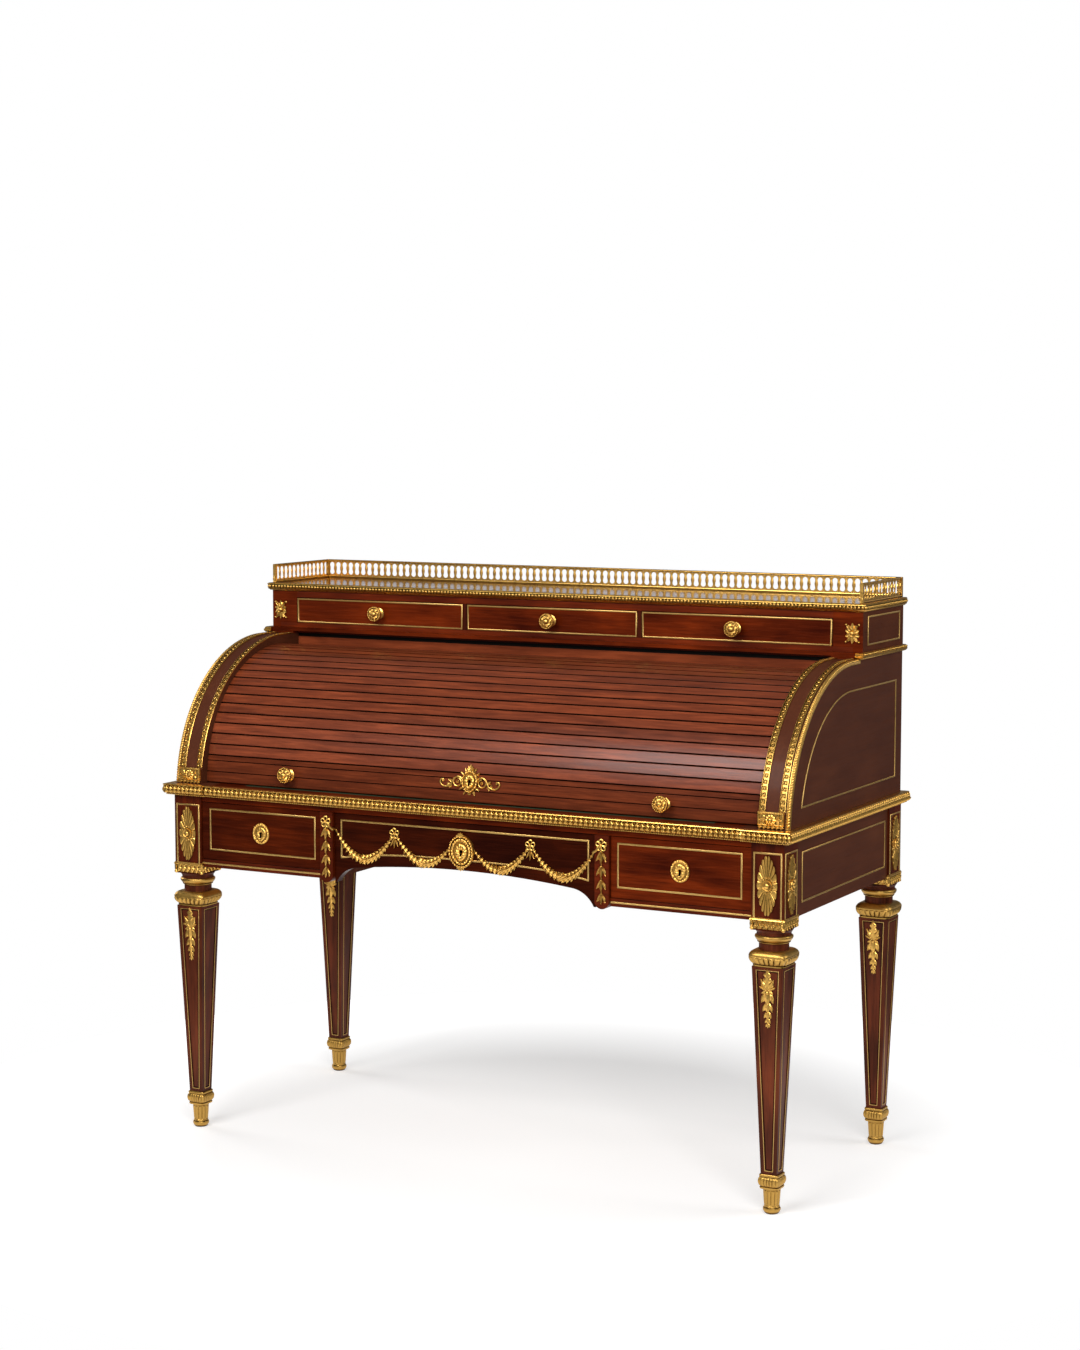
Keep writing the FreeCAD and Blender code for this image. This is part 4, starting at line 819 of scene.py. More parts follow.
def polish(tree, shader, relief, fibre, low, high):
    """Gloss of a polished surface: roughness from the fibres and a faint relief."""
    feed(tree, shader, {
        "Roughness": ranged(tree, fibre, low, high, *NOISE_SPAN), "Normal": bumped(tree, relief, *WOOD_BUMP)})


def wood_paint(name, axis, tone, share=1.0, rough=POLISHED, coat=0.06, shine=0.1):
    """A polished wood with its grain along an axis, darker by a share."""
    tree, shader = new_paint(name)
    dark, light = shaded(tone + "_dark", share), shaded(tone + "_light", share)
    colour, relief, fibre = grain(tree, object_place(tree), axis, dark, light)
    polish(tree, shader, relief, fibre, *rough)
    feed(tree, shader, {
        "Base Color": colour, "Specular IOR Level": shine, "Coat Weight": coat, "Coat Roughness": COAT_ROUGH})


def behind(tree, vector, plane):
    """1 behind a plane square to the desk's depth, given in millimetres, else 0."""
    return math_node(tree, "GREATER_THAN", axes(tree, vector)["Y"], plane * MM)


def drawer_paint(name, plane, knob_plane=None, share=1.0, lining="oak"):
    """Mahogany front, darker by a share, a lining behind the plane and, before the knob plane, gilt."""
    tree, shader = new_paint(name)
    vector = object_place(tree)
    front, relief, fibre = grain(tree, vector, "X", shaded("wood_dark", share), shaded("wood_light", share))
    inner, _, _ = grain(tree, vector, "Y", finish(lining + "_dark"), finish(lining + "_light"))
    inside = behind(tree, vector, plane)
    colour = mixed(tree, inside, front, inner)
    duller = math_node(tree, "MULTIPLY", inside, 0.3)
    rough = math_node(tree, "ADD", ranged(tree, fibre, *DRAWER_POLISH, *NOISE_SPAN), duller)
    if knob_plane is not None:
        wooden = behind(tree, vector, knob_plane)
        colour = mixed(tree, wooden, finish("gilt"), colour)
        feed(tree, shader, {"Metallic": math_node(tree, "SUBTRACT", 1.0, wooden)})
    feed(tree, shader, {
        "Base Color": colour, "Roughness": rough, "Normal": bumped(tree, relief, *WOOD_BUMP),
        "Specular IOR Level": 0.05, "Coat Weight": 0.03, "Coat Roughness": COAT_ROUGH})


def slat_paint(name, share, shine, coat):
    """Mahogany of the roll: each slat has its own tone and figure, with a dark joint between two."""
    tree, shader = new_paint(name)
    vector = object_place(tree)
    parts = axes(tree, vector)
    rise = math_node(tree, "SUBTRACT", parts["Z"], ROLL_Z * MM)
    ahead = math_node(tree, "SUBTRACT", ROLL_Y * MM, parts["Y"])
    angle = math_node(tree, "ARCTAN2", rise, ahead)
    along = ranged(tree, angle, 0.0, SLAT_COUNT, SLAT_FIRST, SLAT_LAST, clamp=False)
    slat = math_node(tree, "FLOOR", along)
    chance = tree_node(tree, "ShaderNodeTexWhiteNoise", {"W": slat}, noise_dimensions="1D").outputs
    shift = tree_node(tree, "ShaderNodeVectorMath", {0: vector, 1: chance["Color"]}, operation="ADD")
    dark, light = shaded("slat_dark", share), shaded("slat_light", share)
    colour, relief, fibre = grain(tree, shift.outputs[0], "X", dark, light, SLAT_GRAIN)
    tone = tree_node(tree, "ShaderNodeHueSaturation", {
        "Color": colour, "Value": ranged(tree, chance["Value"], 0.84, 1.16)}).outputs[0]
    stops = [(spot, grey(share_dark)) for spot, share_dark in JOINT_STOPS]
    joint = ramp(tree, math_node(tree, "FRACT", along), stops)
    on_slats = math_node(tree, "GREATER_THAN", angle, SLAT_FIRST - JOINT_HALF)
    joint = math_node(tree, "MULTIPLY", joint, on_slats)
    for line in RAIL_LINES:
        scribed = math_node(tree, "COMPARE", angle, math.radians(line), JOINT_HALF)
        joint = math_node(tree, "MAXIMUM", joint, scribed)
    polish(tree, shader, relief, fibre, *ROLL_POLISH)
    feed(tree, shader, {
        "Base Color": mixed(tree, joint, tone, JOINT_TONE),
        "Specular IOR Level": ranged(tree, joint, shine, 0.0),
        "Coat Weight": ranged(tree, joint, coat, 0.0),
        "Coat Roughness": 0.16})


def header_and_shadow_paint(name, height):
    """Mahogany of the board above the roll, near-black above a height: painted shadow under the overhanging
    base board.
    """
    tree, shader = new_paint(name)
    vector = object_place(tree)
    colour, relief, fibre = grain(tree, vector, "X", finish("slat_dark"), finish("slat_light"))
    # Above the height the board takes the keyhole's near-black: painted shadow
    above = math_node(tree, "GREATER_THAN", axes(tree, vector)["Z"], height * MM)
    polish(tree, shader, relief, fibre, *DULL)
    feed(tree, shader, {
        "Base Color": mixed(tree, above, colour, finish("keyhole")), "Specular IOR Level": 0.1})


def gilt_paint(name, raised, rough, depth):
    """Gilt bronze: bright on what stands up; in the recesses darker and duller, where ambient occlusion
    paints shade over a toned ground; with a chased, uneven face.
    """
    tree, shader = new_paint(name)
    vector = object_place(tree)
    # Ambient occlusion over a depth: painted shade, darkest in the recesses
    occlusion = tree_node(tree, "ShaderNodeAmbientOcclusion", {"Distance": depth * MM}, samples=8).outputs["AO"]
    mottle = noise(tree, vector, scale=180.0, detail=4.0)
    unshaded = ranged(tree, occlusion, 0.0, 1.0, start=0.42, end=0.88)
    # Share of full gilt: unshaded by the occlusion, times an uneven mottle of wear
    worn = math_node(tree, "MULTIPLY", unshaded, ranged(tree, mottle, 0.86, 1.1, *NOISE_SPAN))
    dull = ranged(tree, mottle, rough, rough + 0.14, *NOISE_SPAN)
    chased = noise(tree, vector, scale=900.0, detail=2.0)
    feed(tree, shader, {
        "Base Color": mixed(tree, worn, finish("gilt_recess_shade"), raised),
        "Metallic": 1.0,
        "Roughness": math_node(tree, "ADD", dull, ranged(tree, unshaded, 0.2, 0.0)),
        "Normal": bumped(tree, chased, 0.15, 0.3)})


def shadow_paint(name):
    """Near-black metal: the painted shadow seen in the keyholes."""
    tree, shader = new_paint(name)
    pitted = noise(tree, object_place(tree), scale=400.0)
    feed(tree, shader, {
        "Base Color": finish("keyhole"), "Metallic": 1.0, "Roughness": ranged(tree, pitted, 0.6, 0.85)})


def leather_paint(name):
    """Writing leather: fine pebbled grain, worn paler in places."""
    tree, shader = new_paint(name)
    vector = object_place(tree)
    pebble = tree_node(tree, "ShaderNodeTexVoronoi", {"Vector": vector, "Scale": 620.0}).outputs["Distance"]
    wear = noise(tree, vector, scale=5.0, detail=4.0)
    worn = ranged(tree, wear, 0.0, 0.7, start=0.35, end=0.75)
    feed(tree, shader, {
        "Base Color": mixed(tree, worn, finish("leather"), shaded("leather", 1.9)),
        "Roughness": ranged(tree, wear, 0.55, 0.38),
        "Normal": bumped(tree, pebble, 0.25, 0.4)})


def canvas_paint(name):
    """Plain linen: two sets of threads that cross."""
    tree, shader = new_paint(name)
    spread = tree_node(tree, "ShaderNodeUVMap", uv_map="cloth").outputs[0]
    threads = [tree_node(tree, "ShaderNodeTexWave", {"Vector": spread, "Scale": 180.0}, bands_direction=way)
               for way in "XY"]
    weave = math_node(tree, "MAXIMUM", *(thread.outputs[1] for thread in threads))
    feed(tree, shader, {
        "Base Color": mixed(tree, weave, shaded("canvas", 0.55), finish("canvas")),
        "Roughness": 0.9,
        "Normal": bumped(tree, weave, 0.5, 0.4)})


# CAD nodes that keep their shape, by the wood that they show
WOODS = {
    "mahogany_front": ("upper_rails", "writing_slide"),
    "mahogany_frame": ("front_frame",),
    "mahogany_upright": ("corner_posts", "upper_dividers"),
    "mahogany_leg": LEG_NODES,
    "header": ("roll_header",),
    "mahogany_top": ("top_board",),
    "flank": ("side_rails", "side_panel_left", "side_panel_right", "cheeks", "table_frame"),
    "flank_back": ("back_rail", "back_panels", "partitions"),
    "oak": ("drawer_runners",),
    "oak_polished": ("bed_board", "nest_case"),
    "slats": ("roll_slats",),
    "rail": ("roll_rail",),
}
SIDES = ("left", "center", "right")
# Darkness of each frieze drawer's mahogany: partly the veneer's own tone, partly painted shade, as the light
# falls from the right and the table moulding overhangs the frieze
FRIEZE_SHADE_AND_TONE = {"left": 0.5, "center": 0.26, "right": 0.85}
# Height of the band of painted shadow at the top of the header, below the base board
HEADER_SHADOW_H = 8.0
FRIEZE_FRONT, UPPER_FRONT_T, NEST_FRONT, NEST_KNOB = 20.0, 16.0, 8.0, 11.0
CLEAR = 0.4


class DESK_OT_woods(bpy.types.Operator):
    """Makes every finish and paints the CAD nodes that keep their shape"""
    bl_idname = "desk.woods"
    bl_label = "Woods and finishes"

    def execute(self, context):
        wood_paint("mahogany_front", "X", "wood")
        wood_paint("mahogany_frame", "X", "wood", 0.7)
        wood_paint("mahogany_upright", "Z", "wood", 0.6, rough=SATIN, coat=0.02)
        wood_paint("mahogany_leg", "Z", "leg", rough=SATIN, coat=0.03)
        # Very dark leg mahogany for the lines inside the legs' brass lines: painted shadow of the sunk
        # panels' edges
        wood_paint("stringing", "Z", "leg", 0.25, rough=DULL, coat=0.0, shine=0.05)
        header_and_shadow_paint("header", SIDE_TOP - HEADER_SHADOW_H)
        wood_paint("mahogany_top", "X", "wood", rough=MIRROR, coat=0.4, shine=0.35)
        wood_paint("flank", "Y", "flank", rough=WAXED, coat=0.04)
        wood_paint("flank_back", "X", "flank", rough=DULL, coat=0.1)
        wood_paint("oak", "Y", "oak", rough=BARE, coat=0.0)
        wood_paint("oak_polished", "X", "oak", 0.55, rough=SATIN)
        slat_paint("slats", 1.0, SLAT_SHINE, SLAT_COAT)
        # The bottom rail takes the slats' mahogany at 0.8: painted shade, as it faces forward and gets less
        # light from above
        slat_paint("rail", 0.8, RAIL_SHINE, RAIL_COAT)
        gilt_paint("gilt_bronze", finish("gilt"), rough=0.25, depth=5.2)
        # Gilt of the sabots and collars at 0.62: a shaded copy of the gilt, painted shade against the floor's
        # glow
        gilt_paint("gilt_legs", shaded("gilt", 0.62), rough=0.32, depth=7.0)
        gilt_paint("brass_line", finish("brass"), rough=0.34, depth=1.0)
        # Brass of the leg lines at 0.88: a shaded copy of the brass, painted shade
        gilt_paint("leg_line", shaded("brass", 0.88), rough=0.34, depth=1.0)
        shadow_paint("keyhole")
        leather_paint("leather")
        canvas_paint("canvas")
        for paint, nodes in WOODS.items():
            for name in nodes:
                self.paint(name, paint)
        for side in SIDES:
            # Frieze drawers are darkened by their share: painted shade with the veneer's own tone
            kinds = (("frieze", FRIEZE_FRONT, FRIEZE_SHADE_AND_TONE[side]), ("upper", UPPER_FRONT_T, 1.0))
            for kind, thick, share in kinds:
                name = f"{kind}_drawer_{side}"
                self.faced(name, span(name)[0][1] + thick - CLEAR, share=share)
            name = "nest_drawer_" + side
            knob_plane = span(name)[0][1] + NEST_KNOB
            self.faced(name, knob_plane + NEST_FRONT - CLEAR, knob_plane=knob_plane - CLEAR)
        self.faced("dust_board", FACE + FRIEZE_FRONT - CLEAR)
        self.faced("upper_base", CASE_BACK - FRIEZE_FRONT, lining="flank")
        self.faced("upper_ends", UPPER_FRONT + CLEAR, lining="flank")
        return {"FINISHED"}

    def faced(self, name, plane, **settings):
        """Gives a CAD node a finish of its own: a polished face and a lining behind a plane."""
        drawer_paint(name, plane, **settings)
        self.paint(name, name)

    def paint(self, name, paint):
        """Gives a CAD node its finish."""
        slots = frame["nodes"][name].data.materials
        slots.clear()
        slots.append(PAINTS[paint])


# Legs and posts

TOE_H, TUBE_TOP, SABOT_REEDS = 15.0, 52.0, 12
RIM_POINTS, RIM_LEAVES = 144, 24
COLLAR_H, COLLAR_SIDE, RING_H = 32.0, 86.0, 16.0
BORDER_H, BORDER_LEAVES = 25.0, 5
HUSK_BELOW_TOP = 3.0
LEG_PANEL_MARGIN, LEG_PANEL_END, LEG_PANEL_DEPTH = 9.0, 7.0, 1.2
LEG_LINE_W, LEG_LINE_RISE = 1.5, 0.6
# Dark lines inside the legs' brass lines, painted shadow of the sunk panels' edges: width, rise and inset
GROOVE_SHADOW_W, GROOVE_SHADOW_RISE, GROOVE_SHADOW_IN = 2.4, 0.25, 2.2


def leg_width(z):
    """Width of the tapered shaft at a height, measured between its two ends."""
    axis = LEG_AXES[0][0]
    points = np.array([v.co for v in frame["nodes"][LEG_NODES[0]].data.vertices]) / MM
    foot = 2 * np.max(np.abs(points[points[:, 2] < LEG_LOW + 1.0, 0] - axis))
    top = 2 * np.max(np.abs(points[np.abs(points[:, 2] - LEG_TOP) < 1.0, 0] - axis))
    return foot + (top - foot) * (z - LEG_LOW) / (LEG_TOP - LEG_LOW)


def at_legs(casting):
    """A casting made on the Z axis, at all four legs."""
    made = Casting()
    for x, y in LEG_AXES:
        made.add(casting, place(x, y))
    return made


def sabot():
    """Gilt shoe: a bowl for a toe, a reeded tube and a square collar with a row of eggs."""
    toe = ((12.5, 0), (13.6, 0.7), (16.2, 4.0), (17.7, 7.5), (18.0, 10.0), (17.3, 12.2), (15.2, 13.2),
           (16.3, 14.0), (15.8, TOE_H))
    made = Casting().add(turned(toe, 48))
    tube = ((15.4, 13.5, 0.0), (15.8, 16.5, 0.0), (15.0, 17.5, 0.0), (15.6, 19.0, 1.0), (15.9, 21.0, 2.0),
            (16.8, 34.0, 2.0), (17.6, 45.5, 2.0), (17.6, 47.5, 1.0), (16.9, 48.5, 0.0), (18.0, 49.5, 0.0),
            (18.2, TUBE_TOP, 0.0))
    a = turns(96)
    reeds = 1 - lobed(a, SABOT_REEDS, 0.8)
    made.add(skin([level(polar(radius - cut * reeds, a), z) for radius, z, cut in tube]))
    head = ((34.0, 51.0, 3.0, 0.0), (40.6, 52.2, 5.0, 0.0), (41.6, 53.4, 6.0, 0.0), (41.4, 55.6, 6.0, 0.0),
            (38.2, 56.6, 6.0, 0.0), (40.0, 57.6, 6.0, 0.3), (44.2, 60.4, 7.0, 1.6), (46.6, 65.0, 8.0, 2.1),
            (47.0, 69.0, 8.0, 2.1), (45.4, 72.8, 8.0, 1.4), (42.0, 75.6, 9.0, 0.4), (38.6, 76.6, 10.0, 0.0),
            (41.4, 77.6, 10.0, 0.0), (41.8, 79.4, 10.0, 0.0), (40.8, 81.2, 10.0, 0.0),
            (39.4, SABOT_TOP, 10.0, 0.0))
    eggs = 1 - lobed(turns(RIM_POINTS), RIM_LEAVES, 0.55)
    made.add(skin([level(squared(side, sharp, RIM_POINTS, cut * eggs), z) for side, z, sharp, cut in head]))
    return made


class DESK_OT_sabots(bpy.types.Operator):
    """Gilt shoes of the legs"""
    bl_idname = "desk.sabots"
    bl_label = "Sabots"

    def execute(self, context):
        # Painted in the shaded copy of the gilt
        gilt_piece(at_legs(sabot()), "leg_shoes", "case", "sabots", paint="gilt_legs")
        return {"FINISHED"}


def collar():
    """Cushion collar: a fillet, leaves round the lower half and a smooth upper half."""
    profile = ((0.800, 0.0, 0.0), (0.836, 0.02, 0.0), (0.840, 0.09, 0.0), (0.796, 0.12, 0.0),
               (0.850, 0.16, 2.4), (0.925, 0.26, 5.0), (0.975, 0.38, 5.0), (0.995, 0.48, 3.6),
               (1.0, 0.56, 1.2), (0.978, 0.60, 0.0), (0.994, 0.64, 0.0), (0.985, 0.72, 0.0),
               (0.950, 0.82, 0.0), (0.890, 0.91, 0.0), (0.820, 0.97, 0.0), (0.770, 1.0, 0.0))
    leaves = 1 - lobed(turns(RIM_POINTS), RIM_LEAVES, 0.55)
    loops = []
    for width, share, cut in profile:
        outline = squared(width * COLLAR_SIDE, 4.5 + 1.5 * share, RIM_POINTS, cut * leaves)
        loops.append(level(outline, LEG_TOP + share * COLLAR_H))
    return skin(loops)


def neck_ring():
    """Smooth turned cup with a groove near its foot."""
    low = RING_TOP - RING_H
    profile = ((29.8, 0.0), (32.8, 0.05), (33.5, 0.13), (32.0, 0.19), (33.8, 0.25), (35.6, 0.37), (37.0, 0.5),
               (38.1, 0.64), (38.5, 0.76), (38.0, 0.87), (36.4, 0.95), (34.6, 1.0))
    return turned([(r, low + share * RING_H) for r, share in profile], 72)


class DESK_OT_collars(bpy.types.Operator):
    """Cushion collars and rings of the legs"""
    bl_idname = "desk.collars"
    bl_label = "Collars and rings"

    def execute(self, context):
        made = Casting().add(collar()).add(neck_ring())
        # Painted in the shaded copy of the gilt
        gilt_piece(at_legs(made), "leg_collars", "case", "leg_rings", paint="gilt_legs")
        return {"FINISHED"}


def post_border():
    """Leaf border round a post: a fillet, a row of leaves with drops between, and drooping corner leaves."""
    made = Casting()
    half = POST_SIDE / 2
    top = POST_Z + BORDER_H
    fillet = ((-1.0, -5.5), (2.2, -5.5), (2.8, -4.2), (2.2, -2.6), (1.2, -1.8), (1.6, -0.8), (0.8, 0.0),
              (-1.0, 0.0))
    ground = ((-1.0, 3.0 - BORDER_H), (0.9, 3.0 - BORDER_H), (0.9, -4.0), (-1.0, -4.0))
    for section in (fillet, ground):
        loops = []
        for sx, sy in boxed(-1, 1, -1, 1):
            loops.append([(sx * (half + d), sy * (half + d), top + z) for d, z in section])
        made.add(skin(loops, ring=True))
    step = POST_SIDE / (BORDER_LEAVES + 1)
    slant = (1, -1, 0)
    for quarter in range(4):
        turn = place(spin=90 * quarter)
        for x in centred(BORDER_LEAVES, step):
            made.add(leaf(16.0, step, 4.2, 2.4, lobes=2, rib=-0.5, rows=11),
                     turn @ place(x, -half - 0.4, top - 6, FORWARD, DOWN))
        for x in centred(BORDER_LEAVES + 1, step):
            made.add(bead(3.2), turn @ place(x, -half - 0.9, POST_Z + 4.2, out=FORWARD))
        made.add(leaf(21.0, 15.0, 4.0, 0.6, lobes=2, rows=12),
                 turn @ place(half - 1.0, 1.0 - half, top - 3, slant, DOWN))
        made.add(bead(4.4), turn @ place(half - 1.4, 1.4 - half, POST_Z + 3.6, out=slant))
    return made


class DESK_OT_borders(bpy.types.Operator):
    """Leaf borders at the lower end of the corner posts"""
    bl_idname = "desk.borders"
    bl_label = "Post borders"

    def execute(self, context):
        gilt_piece(at_legs(post_border()), "post_leaf_borders", "case", "post_borders")
        return {"FINISHED"}


def boss(radius, rise):
    """A round boss: rim, dish, inner ring and eye."""
    profile = ((1.0, 0.0), (1.0, 0.5), (0.94, 0.75), (0.82, 0.78), (0.72, 0.5), (0.6, 0.36), (0.5, 0.4),
               (0.46, 0.8), (0.36, 1.0), (0.2, 1.14), (0.05, 1.2))
    return turned([(radius * r, rise * z) for r, z in profile], 40)


def patera(width, height, rise, rays, petals):
    """An oval burst of rounded, veined leaves round a boss with a ring of petals."""
    a = turns(RIM_POINTS)
    ray = lobed(a, rays, 0.5)
    vein = lobed(a, 3 * rays, 0.8)
    edge = rounded(a, 1.7) * (0.87 + 0.13 * ray)

    def relief(share, angle):
        swell = math.sin(math.pi / 2 * min(1.0, 0.25 + 1.5 * share)) ** 0.7
        cut = (1 - share) ** 0.5
        return rise * (0.1 + 0.3 * swell + 0.38 * cut * ray + 0.08 * vein * cut)

    made = Casting().add(plate(width, height, relief, edge, rings=12, count=RIM_POINTS))
    for where in around(petals, 0.27 * width, 0.5 * rise):
        made.add(leaf(0.15 * width, 0.11 * width, 0.4 * rise, 0.1 * rise), where)
    made.add(boss(0.27 * width, 1.1 * rise), place(z=0.5 * rise))
    return made


PATERA_W, PATERA_H, PATERA_RISE, PATERA_LIFT = 43.5, 122.0, 5.0, 4.0
PATERA_RAYS, PATERA_PETALS = 18, 14


def post_faces(z):
    """Places on the outer faces of the posts at a height: both sides, and the front of the front ones."""
    places = []
    for x, y in LEG_AXES:
        places.append(place(math.copysign(HALF, x), y, z, RIGHT if x > 0 else LEFT, UP))
        if y < 0:
            places.append(in_front(x, FRONT, z))
    return places


class DESK_OT_pateras(bpy.types.Operator):
    """Oval pateras on the corner posts"""
    bl_idname = "desk.pateras"
    bl_label = "Post pateras"

    def execute(self, context):
        oval_burst = patera(PATERA_W, PATERA_H, PATERA_RISE, PATERA_RAYS, PATERA_PETALS)
        made = Casting()
        for where in post_faces(POST_Z + BORDER_H + PATERA_LIFT + PATERA_H / 2):
            made.add(oval_burst, where)
        gilt_piece(made, "post_ovals", "case", "post_pateras")
        return {"FINISHED"}


def leg_mount():
    """Husk mount of a leg: an upright lobed leaf over a tapering chain of husks, hanging from the origin."""
    made = Casting()
    made.add(leaf(46.0, 21.0, 3.6, 0.8, lobes=4, rows=25, cols=6), place(y=-46.5))
    for lean in (-1, 1):
        made.add(leaf(27.0, 10.0, 3.2, 0.8, lobes=2, rows=11), place(lean * 3.0, -45.0, 0.8, spin=-25 * lean))
        made.add(leaf(16.0, 8.0, 3.0, 0.8, lobes=1), place(lean * 3.0, -44.0, 0.9, spin=-62 * lean))
        made.add(leaf(11.0, 7.0, 2.6, 0.9), place(lean * 2.4, -46.0, 1.0, spin=-112 * lean))
    made.add(bead(3.2), place(y=-47.0, z=2.2))
    made.add(husk_chain(-48.5, (25.0, 20.0, 15.0, 11.0, 9.0), 25.0, 4.6, 0.88))
    return made


class DESK_OT_husks(bpy.types.Operator):
    """Husk mounts at the top of the legs' front faces"""
    bl_idname = "desk.husks"
    bl_label = "Leg husks"

    def execute(self, context):
        top = LEG_TOP - HUSK_BELOW_TOP
        lean = (leg_width(LEG_TOP) - leg_width(SABOT_TOP)) / 2 / (LEG_TOP - SABOT_TOP)
        made = Casting()
        for x, y in LEG_AXES:
            face = y - leg_width(top) / 2 + LEG_PANEL_DEPTH
            made.add(leg_mount(), place(x, face, top, (0, -1, -lean), UP))
        gilt_piece(made, "leg_husk_mounts", "case", "leg_husks")
        return {"FINISHED"}


# Frieze mounts

BOW_X, BOW_Z, BOW_SIZE = 163.0, 706.0, 11.0
STILE_BOW_Z, STILE_BOW_SIZE, STILE_DROP = 720.0, 12.0, 118.0
SWAG_LOW, SWAG_INSET, SWAG_START = 648.0, 3.0, 8.0
DRAWER_EDGE = span("frieze_drawer_center")[1][0]
LOCK_HALF, LOCK_T, LOCK_DROP = 28.0, 12.0, 22.0


class DESK_OT_stile_drops(bpy.types.Operator):
    """Bows and husk drops of the front stiles"""
    bl_idname = "desk.stile_drops"
    bl_label = "Stile drops"

    def execute(self, context):
        drop = Casting().add(bow(STILE_BOW_SIZE))
        drop.add(husk_chain(-14.0, (24.0, 23.0, 22.0, 21.0), 15.0, 5.0, 1.25))
        drop.add(ribbon([(0, 0), (0, -40), (0, -80), (0, -STILE_DROP)], 1.4, 2.6))
        cord = smooth_path([(-19.0, -17.0), (-12.0, -12.0), (-5.0, -5.5), (0, 0)], 12)
        drop.add(ribbon(cord, 2.6, 4.2, 4.0))
        made = Casting().add(drop, in_front(STILE_X, STILE_FRONT, STILE_BOW_Z))
        gilt_piece(made.paired(), "stile_husk_drops", "case", "stile_drops")
        return {"FINISHED"}


def lock_case(x):
    """The lock's case at the back of a drawer front."""
    back = FACE + FRIEZE_FRONT
    top = span("frieze_lock_right")[1][2]
    return slab(x - LOCK_HALF, x + LOCK_HALF, back - LOCK_T, back, KEY_Z - LOCK_DROP, top)


def escutcheon(width, height, rise, marks):
    """A keyhole plate: a smooth rim with small leaf marks, a groove and a domed ring round the keyhole."""
    count, rim_end, ring_start = 96, 0.34, 0.44
    mark = 1 - lobed(turns(count), marks, 0.5)

    def relief(share, angle):
        if share < rim_end:
            return rise * (0.25 + math.sin(math.pi * share / rim_end) ** 0.7 * (0.68 - 0.4 * mark))
        if share < ring_start:
            return rise * np.full(len(angle), 0.3)
        dome = math.sin(math.pi * (share - ring_start) / (1 - ring_start)) ** 0.6
        return rise * (0.4 + 0.55 * dome * (0.7 + 0.3 * lobed(angle, 10)))

    return plate(width, height, relief, rings=22, count=count, hole=key_slot(count))


def keyhole():
    """A near-black slab in the opening of a keyhole plate: painted shadow."""
    return slab(-5.0, 5.0, -11.0, 5.0, -0.4, 0.9, 0.2)


def frieze_keyhole(side, x):
    """The painted shadow in a frieze drawer's keyhole, a piece of its own."""
    hole = Casting().add(keyhole(), in_front(x, FACE, KEY_Z))
    gilt_piece(hole, "keyhole_" + side, "frieze_" + side, paint="keyhole")


class DESK_OT_escutcheons(bpy.types.Operator):
    """Round escutcheons and locks of the side drawers"""
    bl_idname = "desk.escutcheons"
    bl_label = "Frieze escutcheons"

    def execute(self, context):
        for side, sign in (("left", -1), ("right", 1)):
            x = sign * SIDE_KEY_X
            made = Casting().add(escutcheon(43.0, 47.0, rise=5.0, marks=20), in_front(x, FACE, KEY_Z))
            made.add(lock_case(x))
            gilt_piece(made, "escutcheon_" + side, "frieze_" + side, "frieze_lock_" + side)
            frieze_keyhole(side, x)
        return {"FINISHED"}


def sprig():
    """A bell of five overlapping laurel leaves, open along +Y."""
    made = Casting()
    for lean, lift in ((-50, 0.6), (50, 0.6), (-25, 2.0), (25, 2.0), (0, 3.2)):
        made.add(leaf(13.0, 6.4, 2.4, 1.4, rib=0.35, rows=6), place(z=lift, spin=lean))
    return made


def swag_path(x0, z0, x1, z1, low):
    """A hanging line between two knots."""
    s = np.linspace(0, 1, 40)
    sag = (z0 + z1) / 2 - low
    return np.column_stack([x0 + (x1 - x0) * s, z0 + (z1 - z0) * s - 4 * sag * s * (1 - s)])


def swag_places(path, pitch):
    """Where the sprigs of a swag go: from both knots to the lowest point, growing on the way."""
    reach = travel(path)
    count = int(reach[-1] // pitch)
    places = []
    for n in range(count + 1):
        s = reach[-1] * n / count
        x, z = np.interp(s, reach, path[:, 0]), np.interp(s, reach, path[:, 1])
        k = min(int(np.searchsorted(reach, s)), len(path) - 2)
        along = (path[k + 1] - path[k]) * (1 if n <= count / 2 else -1)
        share = 0.24 + 0.82 * math.sin(math.pi * n / count)
        places.append(place(x, FACE, z, FORWARD, (along[0], 0, along[1]), size=share))
    return places


MEDALLION_W, MEDALLION_H = 61.0, 71.0


